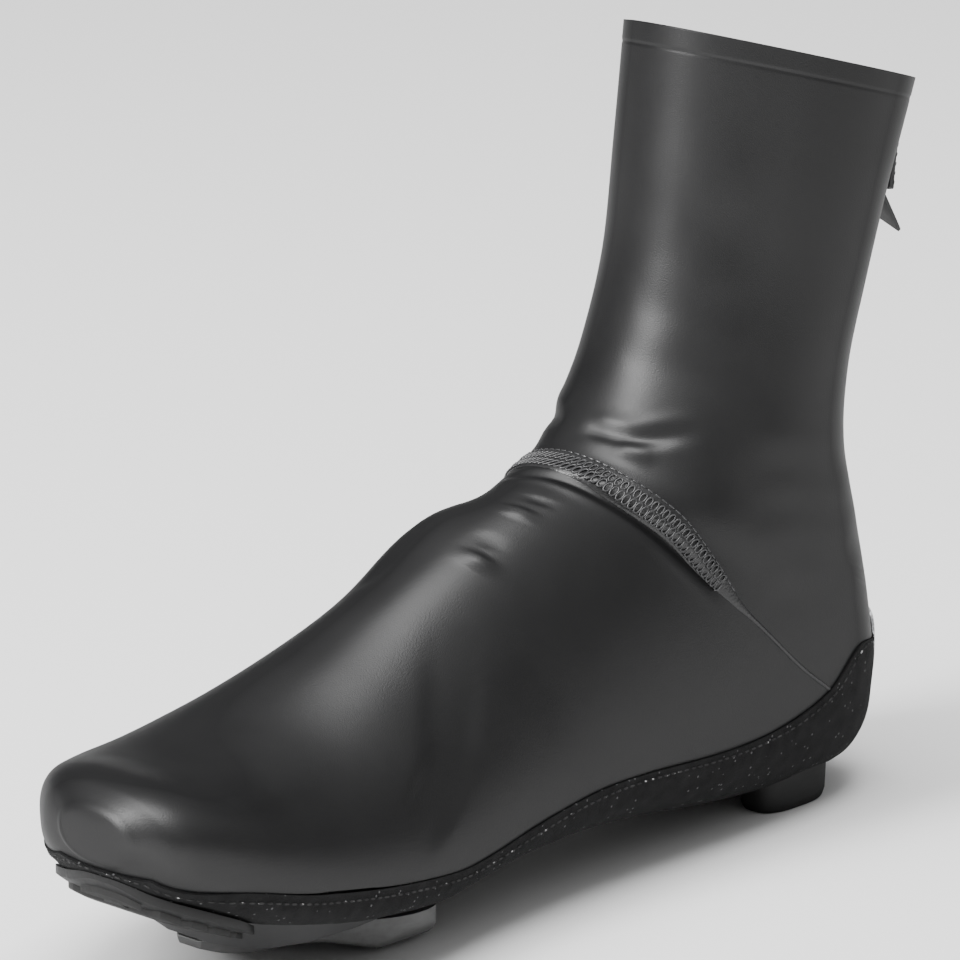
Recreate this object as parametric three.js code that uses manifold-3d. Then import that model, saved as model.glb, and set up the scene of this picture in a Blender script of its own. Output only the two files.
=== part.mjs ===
import * as THREE from "three";
import Module from "manifold-3d";
import { mergeVertices } from "three/addons/utils/BufferGeometryUtils.js";

const wasm = await Module();
wasm.setup();

// Right-foot overshoe over a cleated road sole, in millimetres. The toe points along -Y and +X is the inner
// side of the foot. Along is a share of the shoe length, forward from the heel seat.
const shoeLength = 280;
const ballWidth = 99;
const soleLift = 5.5;
const instepHeight = 101;
const collarHeight = 227.5;
const toeSpring = 33;
const archRise = 3;
const dialHeight = 5.5;

const wall = 1.6;
const bandRise = 0.5;
const seamRise = 1.2;
const fitGap = 0.3;
const soleThickness = 6;
const insoleThickness = 3;

const cleatLength = 64;
const cleatHalfWidth = 28.5;
const cleatHeight = 10.5;
const cleatAlong = 0.582;
const nosePadThickness = 2.2;
const boltHeadRadius = 4;
const washerRadius = 5.6;
const shankRadius = 2.4;
const boltPocketDepth = 5;
const boltHeadHeight = 2;
const boltHeadChamfer = 0.4;
const washerThickness = 1.2;

const toePlateThickness = 1.6;
const toeTreadDepth = 1.8;
const toeFlangeDrop = 0.5;
const toeCleatDrop = 1.6;
const grooveWidth = 2.6;
const grooveCount = 6;
const lugLength = 27;
const lugWidth = 14;
const lugSpacing = 34;
const lugAlong = 0.079;

const tapeHalfWidth = 7;
const tapeThickness = 1;
const chainHalfWidth = 2.6;
const chainHeight = 1.4;
const sliderWidth = 8.4;
const sliderLength = 10;
const sliderHeight = 3;
const hingeLift = 4.7;
const barRadius = 0.6;
const eyeRadius = 1.45;
const eyeHalfWidth = 1.2;
const earThickness = 1;
const earHalfLength = 2;
const earSink = 0.5;
const earOverBar = 0.4;
const pullLength = 20;
const pullHalfWidth = 5.2;
const pullThickness = 1.2;
const pullNeck = 1.5;
const pullShoulder = 3.5;
const pullAngle = 32;
const flapHalfWidth = 12;
const flapThickness = 1.2;
const flapStandoff = 10.2;
const reflectorHalfWidth = 22;
const reflectorThickness = 0.8;

const ringPoints = 28;
const stepsPerRow = 2;

// One row for each section of the last, collar first. Up is 0 at the underside, 1 at the instep crease and
// 2 at the collar height. Widths are shares of the ball width.
const sections = [
  // frontAlong, frontUp, backAlong, backUp, centre, half, crest, widest, topPower, lowPower
  [0.187, 1.886, -0.124, 1.675, 0.0, 0.344, 0.0, 0.5, 2.0, 2.0],
  [0.2, 1.64, -0.086, 1.455, 0.0, 0.334, 0.0, 0.5, 2.0, 2.0],
  [0.216, 1.392, -0.056, 1.254, 0.0, 0.324, 0.0, 0.5, 2.0, 2.0],
  [0.242, 1.196, -0.031, 1.063, 0.0, 0.329, 0.0, 0.48, 2.0, 2.0],
  [0.271, 1.08, -0.024, 0.88, 0.0, 0.341, 0.0, 0.47, 2.0, 2.1],
  [0.303, 1.012, -0.037, 0.66, 0.0, 0.352, 0.01, 0.5, 2.0, 2.3],
  [0.332, 0.987, -0.055, 0.42, 0.0, 0.359, 0.02, 0.5, 2.0, 2.4],
  [0.364, 0.971, -0.056, 0.2, 0.0, 0.36, 0.025, 0.55, 2.0, 2.6],
  [0.401, 0.949, -0.02, 0.03, 0.01, 0.355, 0.03, 0.58, 2.0, 2.8],
  [0.443, 0.914, 0.083, 0.004, 0.015, 0.352, 0.035, 0.62, 2.0, 3.0],
  [0.5, 0.857, 0.209, 0.016, 0.015, 0.355, 0.035, 0.66, 2.0, 3.0],
  [0.572, 0.77, 0.346, 0.05, 0.0, 0.378, 0.035, 0.7, 2.0, 3.2],
  [0.653, 0.668, 0.503, 0.078, -0.012, 0.42, 0.04, 0.72, 2.0, 3.4],
  [0.736, 0.566, 0.642, 0.074, -0.005, 0.465, 0.04, 0.72, 2.1, 3.6],
  [0.816, 0.5, 0.764, 0.066, 0.045, 0.447, 0.04, 0.7, 2.4, 3.6],
  [0.885, 0.472, 0.861, 0.055, 0.112, 0.394, 0.03, 0.66, 2.7, 3.4],
  [0.942, 0.465, 0.931, 0.058, 0.174, 0.306, 0.01, 0.6, 2.7, 3.0],
  [0.975, 0.43, 0.968, 0.08, 0.212, 0.23, 0.0, 0.54, 2.4, 2.6],
  [0.993, 0.365, 0.99, 0.14, 0.232, 0.135, 0.0, 0.5, 2.1, 2.2],
];
const toeTip = { along: 1.0, up: 0.26, centre: 0.238 };
const heelRow = 7;

// Top edge of the underfoot band in the side view: its rise over the underside is a share of the instep height
const bandLine = [
  // along, rise
  [-0.056, 0.27],
  [0.02, 0.37],
  [0.082, 0.287],
  [0.16, 0.225],
  [0.27, 0.18],
  [0.414, 0.15],
  [0.561, 0.11],
  [0.682, 0.115],
  [0.807, 0.105],
  [0.9, 0.08],
  [0.978, 0.03],
];

// Middle of the raised instep seam in the side view, with half its width as a share of the ball width
const seamLine = [
  // along, up, halfWidth
  [0.36, 1.07, 0.056],
  [0.33, 0.995, 0.056],
  [0.314, 0.94, 0.054],
  [0.275, 0.83, 0.05],
  [0.246, 0.72, 0.04],
  [0.214, 0.61, 0.02],
  [0.186, 0.535, 0.012],
  [0.129, 0.39, 0.012],
  [0.09, 0.31, 0.012],
  [0.07, 0.27, 0.012],
];

// Half of the cleat, rear end first
const cleatRows = [
  // along, halfWidth, lift
  [0.0, 0.74, 0.3],
  [0.05, 0.93, 0.05],
  [0.11, 1.0, 0.0],
  [0.2, 1.0, 0.0],
  [0.3, 0.93, 0.14],
  [0.4, 0.78, 0.3],
  [0.5, 0.58, 0.42],
  [0.62, 0.48, 0.5],
  [0.74, 0.44, 0.54],
  [0.85, 0.4, 0.6],
  [0.93, 0.3, 0.68],
  [1.0, 0.12, 0.8],
];

// Heel lug rings from the floor up: share of the plan size, height as a share of the sole lift
const lugRings = [
  // share, up
  [0.8, 0.0],
  [0.93, 0.12],
  [1.0, 0.5],
  [1.04, 4.4],
];

function blend(table, k, t) {
  const i = Math.min(table.length - 2, Math.max(0, Math.floor(t)));
  const f = t - i;
  const at = (n) => table[Math.min(table.length - 1, Math.max(0, n))][k];
  const [a, b, c, d] = [at(i - 1), at(i), at(i + 1), at(i + 2)];
  const square = 2 * a - 5 * b + 4 * c - d;
  const cube = 3 * b - a - 3 * c + d;
  return 0.5 * (2 * b + (c - a) * f + square * f * f + cube * f ** 3);
}

// Position in a table whose given column rises with t
function positionOf(table, k, value, first = 0) {
  let low = first;
  let high = table.length - 1;
  for (let n = 0; n < 30; n++) {
    const middle = (low + high) / 2;
    if (blend(table, k, middle) < value) low = middle;
    else high = middle;
  }
  return (low + high) / 2;
}

function heightAt(along, up) {
  const toeRamp = Math.max(0, (along - 0.6) / 0.4);
  const archRamp = Math.max(0, 1 - Math.abs(along - 0.38) / 0.25);
  const arch = archRise * archRamp * archRamp * (3 - 2 * archRamp);
  const instepTop = soleLift + instepHeight;
  if (up > 1) return instepTop + (up - 1) * (collarHeight - instepTop);
  return soleLift + up * instepHeight + (toeSpring * toeRamp ** 1.7 + arch) * (1 - up);
}

function signedPower(value, power) {
  return Math.sign(value) * Math.abs(value) ** power;
}

function surfacePoint(t, angle) {
  const row = sections[0].map((_, k) => blend(sections, k, t));
  const [frontAlong, frontUp, backAlong, backUp, centre, half, crest, widest, topPower, lowPower] = row;
  const c = Math.cos(angle);
  const s = Math.sin(angle);
  let x = centre + half * signedPower(s, 2 / lowPower);
  let down = widest + (1 - widest) * signedPower(-c, 2 / lowPower);
  if (c >= 0) {
    const across = s >= 0 ? half - crest : half + crest;
    x = centre + crest + across * signedPower(s, 2 / topPower);
    down = widest * (1 - signedPower(c, 2 / topPower));
  }
  const y = -shoeLength * THREE.MathUtils.lerp(frontAlong, backAlong, down);
  const z = THREE.MathUtils.lerp(heightAt(frontAlong, frontUp), heightAt(backAlong, backUp), down);
  return new THREE.Vector3(x * ballWidth, y, z);
}

// The lacing dial of the shoe inside lifts the outer side of the instep
const dialPlace = { row: 9.6, angle: -0.6, rowSpread: 1.1, angleSpread: 0.4 };

function dialLift(t, angle) {
  const turned = angle > Math.PI ? angle - 2 * Math.PI : angle;
  const rowReach = (t - dialPlace.row) / dialPlace.rowSpread;
  const reach = Math.hypot(rowReach, (turned - dialPlace.angle) / dialPlace.angleSpread);
  return dialHeight * Math.exp(-(reach ** 2.6));
}

function offsetPoint(t, angle, offset) {
  const step = 0.01;
  const last = sections.length - 1;
  const along = surfacePoint(Math.min(last, t + step), angle).sub(surfacePoint(Math.max(0, t - step), angle));
  const round = surfacePoint(t, angle + step).sub(surfacePoint(t, angle - step));
  const normal = new THREE.Vector3().crossVectors(along, round).normalize();
  return surfacePoint(t, angle).addScaledVector(normal, offset + dialLift(t, angle));
}

function solidOf(points, index) {
  const geometry = new THREE.BufferGeometry().setFromPoints(points);
  geometry.setIndex(index);
  return manifoldOf(geometry);
}

function manifoldOf(geometry) {
  geometry.deleteAttribute("normal");
  geometry.deleteAttribute("uv");
  const merged = mergeVertices(geometry, 0.0001);
  const vertProperties = new Float32Array(merged.attributes.position.array);
  const triVerts = new Uint32Array(merged.index.array);
  const solid = new wasm.Manifold(new wasm.Mesh({ numProp: 3, vertProperties, triVerts }));
  if (solid.volume() > 0) return solid;
  const turned = triVerts.slice().reverse();
  return new wasm.Manifold(new wasm.Mesh({ numProp: 3, vertProperties, triVerts: turned }));
}

function geometryOf(solid) {
  const mesh = solid.getMesh();
  const geometry = new THREE.BufferGeometry();
  geometry.setAttribute("position", new THREE.BufferAttribute(new Float32Array(mesh.vertProperties), 3));
  geometry.setIndex(new THREE.BufferAttribute(new Uint32Array(mesh.triVerts), 1));
  return geometry;
}

// Closed solid through rings of equal length; a cap is laced from side to side of its ring, or runs to a tip
function loft(rings, tip) {
  const count = rings[0].length;
  const points = rings.flat();
  const index = [];
  const lastRing = (rings.length - 1) * count;
  for (let i = 0; i < count; i++) {
    const next = (i + 1) % count;
    for (let start = 0; start < lastRing; start += count) {
      index.push(start + i, start + i + count, start + next);
      index.push(start + next, start + i + count, start + next + count);
    }
    if (tip) index.push(lastRing + i, points.length, lastRing + next);
  }
  for (let low = 0, high = count - 1; high - low > 1; ) {
    index.push(low, low + 1, high);
    if (!tip) index.push(lastRing + low, lastRing + high, lastRing + low + 1);
    low += 1;
    if (high - low < 2) break;
    index.push(low, high - 1, high);
    if (!tip) index.push(lastRing + low, lastRing + high, lastRing + high - 1);
    high -= 1;
  }
  return solidOf(tip ? [...points, tip] : points, index);
}

// The whole outer form grown by an offset; collarRaise carries it on past the collar as a cutter
function form(offset, collarRaise = 0) {
  const rings = [];
  const rows = (sections.length - 1) * stepsPerRow;
  for (let i = 0; i <= rows; i++) {
    const angles = Array.from({ length: ringPoints }, (_, j) => (2 * Math.PI * j) / ringPoints);
    rings.push(angles.map((angle) => offsetPoint(i / stepsPerRow, angle, offset)));
  }
  if (collarRaise > 0) {
    const lean = rings[0].map((p, j) => p.clone().sub(rings[1][j]).setLength(collarRaise).add(p));
    rings.unshift(lean);
  }
  const tip = new THREE.Vector3(toeTip.centre * ballWidth, -toeTip.along * shoeLength - offset, 0);
  tip.z = heightAt(toeTip.along, toeTip.up);
  return loft(rings, tip);
}

// Prisms from an outline in the plan (x, y), in the side view (y, z) or in the front view (x, z)
function prism(outline, from, to, view) {
  const settings = { depth: to - from, bevelEnabled: false };
  const geometry = new THREE.ExtrudeGeometry(new THREE.Shape(outline), settings);
  geometry.translate(0, 0, from);
  const [x, y, z] = [new THREE.Vector3(1, 0, 0), new THREE.Vector3(0, 1, 0), new THREE.Vector3(0, 0, 1)];
  if (view === "side") geometry.applyMatrix4(new THREE.Matrix4().makeBasis(y, z, x));
  if (view === "front") geometry.applyMatrix4(new THREE.Matrix4().makeBasis(x, z, y.clone().negate()));
  return manifoldOf(geometry);
}

function box(low, high) {
  const size = high.clone().sub(low);
  const geometry = new THREE.BoxGeometry(size.x, size.y, size.z);
  geometry.translate(...low.clone().addScaledVector(size, 0.5).toArray());
  return manifoldOf(geometry);
}

// What the last measures at a place along its underside
function underside(along) {
  const t = positionOf(sections, 2, along, heelRow);
  const height = heightAt(blend(sections, 2, t), blend(sections, 3, t));
  return { height, centre: blend(sections, 4, t) * ballWidth, half: blend(sections, 5, t) * ballWidth };
}

// Plan outline that keeps a share of the sole's width and closes in round ends
function planOutline(from, to, share, grow = 0) {
  const steps = 9;
  const inner = [];
  const outer = [];
  for (let i = 0; i <= steps; i++) {
    const u = (1 - Math.cos((Math.PI * i) / steps)) / 2;
    const along = THREE.MathUtils.lerp(from, to, u);
    const roundEnd = (1 - Math.abs(2 * u - 1) ** 3) ** (1 / 3);
    const { centre, half } = underside(along);
    const endShift = grow * (2 * u - 1);
    const reach = half * share * roundEnd + grow * Math.min(1, 2 * roundEnd);
    inner.push(new THREE.Vector2(centre + reach, -along * shoeLength - endShift));
    outer.unshift(new THREE.Vector2(centre - reach, -along * shoeLength - endShift));
  }
  return [...inner, ...outer.slice(1, -1)];
}

// Side-view outline between two heights over the underside, each a function of along
function slab(from, to, bottom, top) {
  const steps = 20;
  const alongs = Array.from({ length: steps + 1 }, (_, i) => THREE.MathUtils.lerp(from, to, i / steps));
  const lower = alongs.map((a) => new THREE.Vector2(-a * shoeLength, underside(a).height + bottom(a)));
  const upper = alongs.map((a) => new THREE.Vector2(-a * shoeLength, underside(a).height + top(a)));
  return prism([...lower, ...upper.reverse()], -ballWidth, ballWidth, "side");
}

function roundOutline(centre, halfLength, halfWidth) {
  const steps = 18;
  const outline = [];
  for (let i = 0; i < steps; i++) {
    const angle = (2 * Math.PI * i) / steps;
    const x = halfWidth * signedPower(Math.cos(angle), 0.7);
    const y = halfLength * signedPower(Math.sin(angle), 0.7);
    outline.push(new THREE.Vector2(centre.x + x, centre.y + y));
  }
  return outline;
}

const shoeTop = collarHeight + instepHeight;
const farBack = shoeLength / 2;
const farFront = -1.5 * shoeLength;
const heelAlong = sections[heelRow][2];
const footEndAlong = 0.965;
const toeAlong = sections.at(-1)[2];

// Everything under the top edge of the band, which is lifted by raise
function underBand(raise) {
  const line = [];
  for (let t = 0; t <= bandLine.length - 1; t += 0.5) {
    const along = blend(bandLine, 0, t);
    const height = underside(along).height + blend(bandLine, 1, t) * instepHeight + raise;
    line.push(new THREE.Vector2(-along * shoeLength, height));
  }
  const back = new THREE.Vector2(farBack, line[0].y);
  const front = new THREE.Vector2(farFront, line.at(-1).y);
  const outline = [back, ...line, front, front.clone().setY(-shoeTop), back.clone().setY(-shoeTop)];
  return prism(outline, -ballWidth, ballWidth, "side");
}

// Openings through the band for what stands under the sole
function bossOutline(grow) {
  const along = cleatAlong + cleatLength / 2 / shoeLength;
  const centre = new THREE.Vector2(underside(along).centre, -along * shoeLength);
  return roundOutline(centre, cleatLength * 0.5 + grow, cleatHalfWidth * 0.9 + grow);
}

const toePlateStartAlong = cleatAlong + cleatLength / shoeLength + 0.012;
const toePlateEndAlong = 0.985;

function toeCoreOutline(grow) {
  return planOutline(toePlateStartAlong + 0.02, toePlateEndAlong - 0.05, 0.5, grow);
}

function lugRing(side, share, height, grow = 0) {
  const centre = new THREE.Vector2(underside(lugAlong).centre + (side * lugSpacing) / 2, -lugAlong * shoeLength);
  const outline = roundOutline(centre, (lugLength / 2) * share + grow, (lugWidth / 2) * share + grow);
  return outline.map((p) => new THREE.Vector3(p.x, p.y, height));
}

function lugStack(side, grow = 0) {
  return loft(lugRings.map(([share, up]) => lugRing(side, share, up * soleLift, grow)));
}

function backSpot(t, x, offset) {
  const half = blend(sections, 5, t) * ballWidth;
  const sine = signedPower(x / half, blend(sections, 9, t) / 2);
  return offsetPoint(t, Math.PI - Math.asin(sine), offset);
}

// Sheet on the back of the shaft or heel between two offsets; u runs down it and w runs across it
function backSheet({ from, to, rows, columns, half, inner, outer }) {
  const rings = [];
  for (let i = 0; i <= rows; i++) {
    const u = i / rows;
    const t = THREE.MathUtils.lerp(from, to, u);
    const across = Array.from({ length: columns + 1 }, (_, j) => (2 * j) / columns - 1);
    const front = across.map((w) => backSpot(t, w * half(u), inner(u, w)));
    const rear = across.map((w) => backSpot(t, w * half(u), outer(u, w)));
    rings.push([...front, ...rear.reverse()]);
  }
  return loft(rings);
}

// Positions down the back in section rows
const zipTopRow = 0.06;
const zipBottomRow = 5.75;
const sliderRow = 0.95;
const flapBottomRow = 1.03;
const reflectorFootRow = 7.62;
const reflectorTopRow = 6.1;
const backTop = backSpot(0, 0, 0);

function backFrame(t) {
  const up = backSpot(t - 0.1, 0, 0).sub(backSpot(t + 0.1, 0, 0)).normalize();
  const x = new THREE.Vector3(1, 0, 0);
  const out = new THREE.Vector3().crossVectors(up, x);
  return new THREE.Matrix4().makeBasis(x, out, up).setPosition(backSpot(t, 0, 0));
}

function upper() {
  const slotHalf = tapeHalfWidth + fitGap;
  const slotFoot = backSpot(zipBottomRow, 0, 0).z - fitGap;
  const shaftMiddle = backTop.y - shoeLength * 0.17;
  const slot = box(new THREE.Vector3(-slotHalf, shaftMiddle, slotFoot), new THREE.Vector3(slotHalf, farBack, shoeTop));
  return form(0).subtract(form(-wall, 4 * wall)).subtract(underBand(fitGap)).subtract(slot);
}

function underfootBand() {
  let band = form(bandRise).subtract(form(-wall)).intersect(underBand(0));
  band = band.subtract(prism(bossOutline(fitGap), 0, shoeTop / 4, "plan"));
  band = band.subtract(prism(toeCoreOutline(fitGap), 0, shoeTop / 4, "plan"));
  return band.subtract(lugStack(1, fitGap)).subtract(lugStack(-1, fitGap));
}

function instepSeam() {
  const rows = [];
  for (let t = 0; t <= seamLine.length - 1; t += 0.5) {
    const along = blend(seamLine, 0, t);
    const point = new THREE.Vector2(-along * shoeLength, soleLift + blend(seamLine, 1, t) * instepHeight);
    rows.push({ point, half: blend(seamLine, 2, t) * ballWidth });
  }
  const edge = (side) =>
    rows.map(({ point, half }, i) => {
      const before = rows[Math.max(0, i - 1)].point;
      const after = rows[Math.min(rows.length - 1, i + 1)].point;
      const run = after.clone().sub(before).normalize();
      return new THREE.Vector2(point.x - side * half * run.y, point.y + side * half * run.x);
    });
  const strip = prism([...edge(1), ...edge(-1).reverse()], -ballWidth, ballWidth, "side");
  return form(seamRise).subtract(form(fitGap)).intersect(strip).subtract(underBand(fitGap));
}

const plateFoot = wall + fitGap;
const plateTop = plateFoot + soleThickness;

function solePlate() {
  const plate = form(-plateFoot).intersect(slab(heelAlong, footEndAlong, () => -ballWidth, () => plateTop));
  const boss = prism(bossOutline(0), cleatHeight + fitGap, shoeTop / 4, "plan");
  const bossReach = slab(heelAlong, footEndAlong, () => -ballWidth, () => plateFoot + soleThickness / 2);
  return plate.add(boss.intersect(bossReach));
}

function insole() {
  const foot = plateTop + fitGap;
  const sheet = slab(heelAlong, footEndAlong, () => foot, () => foot + insoleThickness);
  return form(-plateFoot).intersect(sheet);
}

// The toe plate follows the band and grows thicker towards the cleat
function toePlate() {
  const plateSpan = toePlateEndAlong - toePlateStartAlong;
  const drop = (along) => toeFlangeDrop + (toeCleatDrop * (toePlateEndAlong - along)) / plateSpan;
  const flangeFoot = (along) => -bandRise - toePlateThickness - drop(along);
  const treadFoot = (along) => flangeFoot(along) - toeTreadDepth;
  const band = form(bandRise + fitGap);
  const flange = prism(planOutline(toePlateStartAlong, toePlateEndAlong, 0.9), 0, shoeTop / 4, "plan")
    .intersect(slab(0.7, toeAlong, flangeFoot, () => ballWidth * 0.1))
    .subtract(band);
  const core = prism(toeCoreOutline(0), 0, shoeTop / 4, "plan")
    .intersect(slab(0.7, toeAlong, flangeFoot, () => ballWidth * 0.1))
    .subtract(form(-wall));
  let tread = prism(planOutline(toePlateStartAlong, toePlateEndAlong - 0.008, 0.76), 0, shoeTop / 4, "plan")
    .intersect(slab(0.7, toeAlong, treadFoot, (along) => flangeFoot(along) + toePlateThickness / 2));
  for (let i = 0; i < grooveCount; i++) {
    const along = THREE.MathUtils.lerp(toePlateStartAlong, toePlateEndAlong, (i + 0.8) / (grooveCount + 0.6));
    const { centre, height } = underside(along);
    const low = new THREE.Vector3(-ballWidth, -along * shoeLength - grooveWidth / 2, 0);
    const high = new THREE.Vector3(ballWidth, low.y + grooveWidth, height + flangeFoot(along));
    const middle = ballWidth * 0.1;
    const inner = box(low.clone().setX(centre + middle), high);
    const outer = box(low, high.clone().setX(centre - middle));
    tread = tread.subtract(inner).subtract(outer);
  }
  return flange.add(core).add(tread);
}

function heelLug(side) {
  return lugStack(side).subtract(form(-wall));
}

const cleatRear = -cleatAlong * shoeLength;
const cleatCentre = underside(cleatAlong + cleatLength / 2 / shoeLength).centre;

function cleatForm() {
  const plan = [];
  const foot = [];
  const steps = 2 * (cleatRows.length - 1);
  for (let i = 0; i <= steps; i++) {
    const y = cleatRear - blend(cleatRows, 0, i / 2) * cleatLength;
    plan.push(new THREE.Vector2(blend(cleatRows, 1, i / 2) * cleatHalfWidth, y));
    foot.push(new THREE.Vector2(y, Math.max(0, blend(cleatRows, 2, i / 2)) * cleatHeight));
  }
  const mirrored = plan.map((p) => new THREE.Vector2(cleatCentre - p.x, p.y)).reverse();
  const outline = [...plan.map((p) => new THREE.Vector2(cleatCentre + p.x, p.y)), ...mirrored];
  const rear = new THREE.Vector2(cleatRear, cleatHeight);
  const front = new THREE.Vector2(cleatRear - cleatLength, cleatHeight);
  const side = prism([...foot, front, rear], -ballWidth, ballWidth, "side");
  const edge = [
    [0.6, 0],
    [0.82, 0.18],
    [1.02, 0.5],
    [1.02, 1],
  ].map(([x, z]) => new THREE.Vector2(x * cleatHalfWidth, z * cleatHeight));
  const mirroredEdge = edge.map((p) => new THREE.Vector2(-p.x, p.y)).reverse();
  const shifted = [...edge, ...mirroredEdge].map((p) => p.setX(p.x + cleatCentre));
  const across = prism(shifted, -cleatRear - shoeLength, -cleatRear + shoeLength, "front");
  return { body: prism(outline, 0, cleatHeight, "plan").intersect(side).intersect(across), foot };
}

// The dark pad under the cleat's nose, and the space that it leaves in the body
function nosePadSpace(foot, grow) {
  const nose = foot.filter((p) => p.x < cleatRear - cleatLength * (0.62 - grow / cleatLength));
  const lower = nose.map((p) => p.clone().setY(p.y - cleatHeight));
  const top = nose.map((p) => p.clone().setY(p.y + nosePadThickness + grow)).reverse();
  const last = nose.at(-1).clone();
  last.x -= cleatLength * 0.2;
  const ahead = [last.clone().setY(last.y - cleatHeight), last.clone().setY(last.y + nosePadThickness + grow)];
  return prism([...lower, ...ahead, ...top], -ballWidth, ballWidth, "side");
}

const boltPlaces = [
  // along the cleat, across it
  [0.24, 0.5],
  [0.24, -0.5],
  [0.52, 0],
].map(([along, across]) => {
  return new THREE.Vector3(cleatCentre + across * cleatHalfWidth, cleatRear - along * cleatLength, 0);
});

function lathe(profile) {
  return manifoldOf(new THREE.LatheGeometry(profile.map(([r, z]) => new THREE.Vector2(r, z)), 12).rotateX(Math.PI / 2));
}

function boltSpace() {
  const pocket = washerRadius + fitGap;
  const hole = shankRadius + fitGap;
  const profile = [
    [0, -1],
    [pocket, -1],
    [pocket, boltPocketDepth],
    [hole, boltPocketDepth],
    [hole, cleatHeight + 1],
    [0, cleatHeight + 1],
  ];
  return lathe(profile);
}

function bolt() {
  const seat = boltPocketDepth - fitGap;
  const washer = seat - washerThickness;
  const head = washer - boltHeadHeight;
  const profile = [
    [0, head],
    [boltHeadRadius * 0.85, head],
    [boltHeadRadius, head + boltHeadChamfer],
    [boltHeadRadius, washer],
    [washerRadius, washer],
    [washerRadius, seat],
    [shankRadius, seat],
    [shankRadius, cleatHeight],
    [0, cleatHeight],
  ];
  const socket = new THREE.CylinderGeometry(boltHeadRadius * 0.55, boltHeadRadius * 0.55, 3, 6);
  socket.rotateX(Math.PI / 2).translate(0, 0, head);
  return lathe(profile).subtract(manifoldOf(socket));
}

function cleatParts() {
  const { body, foot } = cleatForm();
  let shell = body.subtract(nosePadSpace(foot, fitGap));
  for (const place of boltPlaces) shell = shell.subtract(boltSpace().translate(place.toArray()));
  return { shell, pad: body.intersect(nosePadSpace(foot, 0)) };
}

const tapeFoot = -wall + fitGap / 2;
const tapeTop = tapeFoot + tapeThickness;

function zipTape() {
  const half = () => tapeHalfWidth;
  const [inner, outer] = [() => tapeFoot, () => tapeTop];
  return backSheet({ from: zipTopRow, to: zipBottomRow, rows: 13, columns: 2, half, inner, outer });
}

function chainTop() {
  const height = backSpot(sliderRow, 0, 0).z - sliderLength / 2 - fitGap;
  let t = sliderRow;
  while (backSpot(t, 0, 0).z > height) t += 0.01;
  return t;
}

function zipChain() {
  const half = (u) => (u > 0.97 ? chainHalfWidth * 1.5 : chainHalfWidth);
  const inner = () => tapeTop + fitGap;
  const outer = () => tapeTop + fitGap + chainHeight;
  return backSheet({ from: chainTop(), to: zipBottomRow - 0.06, rows: 13, columns: 2, half, inner, outer });
}

// The slider is drawn flat on the zip: x across, y out of the shaft and z up the zip
function sliderBody() {
  const base = tapeTop + fitGap;
  const half = sliderWidth / 2;
  const top = base + sliderHeight;
  const outline = [
    [-0.62 * half, -0.5 * sliderLength],
    [0.62 * half, -0.5 * sliderLength],
    [0.8 * half, -0.1 * sliderLength],
    [half, 0.36 * sliderLength],
    [0.7 * half, 0.5 * sliderLength],
    [-0.7 * half, 0.5 * sliderLength],
    [-half, 0.36 * sliderLength],
    [-0.8 * half, -0.1 * sliderLength],
  ].map(([x, z]) => new THREE.Vector2(x, z));
  let body = prism(outline, -top, -base, "front");
  const earInner = eyeHalfWidth + fitGap;
  const earTop = hingeLift + barRadius + earOverBar;
  for (const side of [-1, 1]) {
    const near = side > 0 ? earInner : -earInner - earThickness;
    const low = new THREE.Vector3(near, top - earSink, -earHalfLength);
    body = body.add(box(low, new THREE.Vector3(near + earThickness, earTop, earHalfLength)));
  }
  const barLength = 2 * earInner + earThickness;
  const bar = new THREE.CylinderGeometry(barRadius, barRadius, barLength, 12).rotateZ(Math.PI / 2);
  return body.add(manifoldOf(bar.translate(0, hingeLift, 0)));
}

// The pull hangs along -Z from its eye; its end is cut aslant to a point on the inner side
function pullBody() {
  const neck = eyeRadius + pullNeck;
  const shoulder = neck + pullShoulder;
  const eyeEdge = barRadius + fitGap * 2;
  const outline = [
    [-eyeHalfWidth, -eyeEdge],
    [-eyeHalfWidth, -neck],
    [-pullHalfWidth, -shoulder],
    [-pullHalfWidth, -0.62 * pullLength],
    [pullHalfWidth * 0.98, -pullLength],
    [pullHalfWidth, -0.9 * pullLength],
    [pullHalfWidth, -shoulder],
    [eyeHalfWidth, -neck],
    [eyeHalfWidth, -eyeEdge],
  ].map(([x, z]) => new THREE.Vector2(x, z));
  const tab = prism(outline, -pullThickness / 2, pullThickness / 2, "front");
  const eye = new THREE.CylinderGeometry(eyeRadius, eyeRadius, 2 * eyeHalfWidth, 20).rotateZ(Math.PI / 2);
  const holeRadius = barRadius + fitGap;
  const hole = new THREE.CylinderGeometry(holeRadius, holeRadius, 4 * eyeHalfWidth, 20).rotateZ(Math.PI / 2);
  return tab.add(manifoldOf(eye)).subtract(manifoldOf(hole));
}

// The flap is sewn on at the collar and bulges over the slider towards its free hem
function zipFlap() {
  const inner = (u, w) => fitGap + flapStandoff * u ** 1.15 * (1 - 0.48 * w ** 4);
  const outer = (u, w) => inner(u, w) + flapThickness;
  const half = (u) => flapHalfWidth * (1 - 0.3 * u);
  return backSheet({ from: 0, to: flapBottomRow, rows: 6, columns: 8, half, inner, outer });
}

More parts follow.
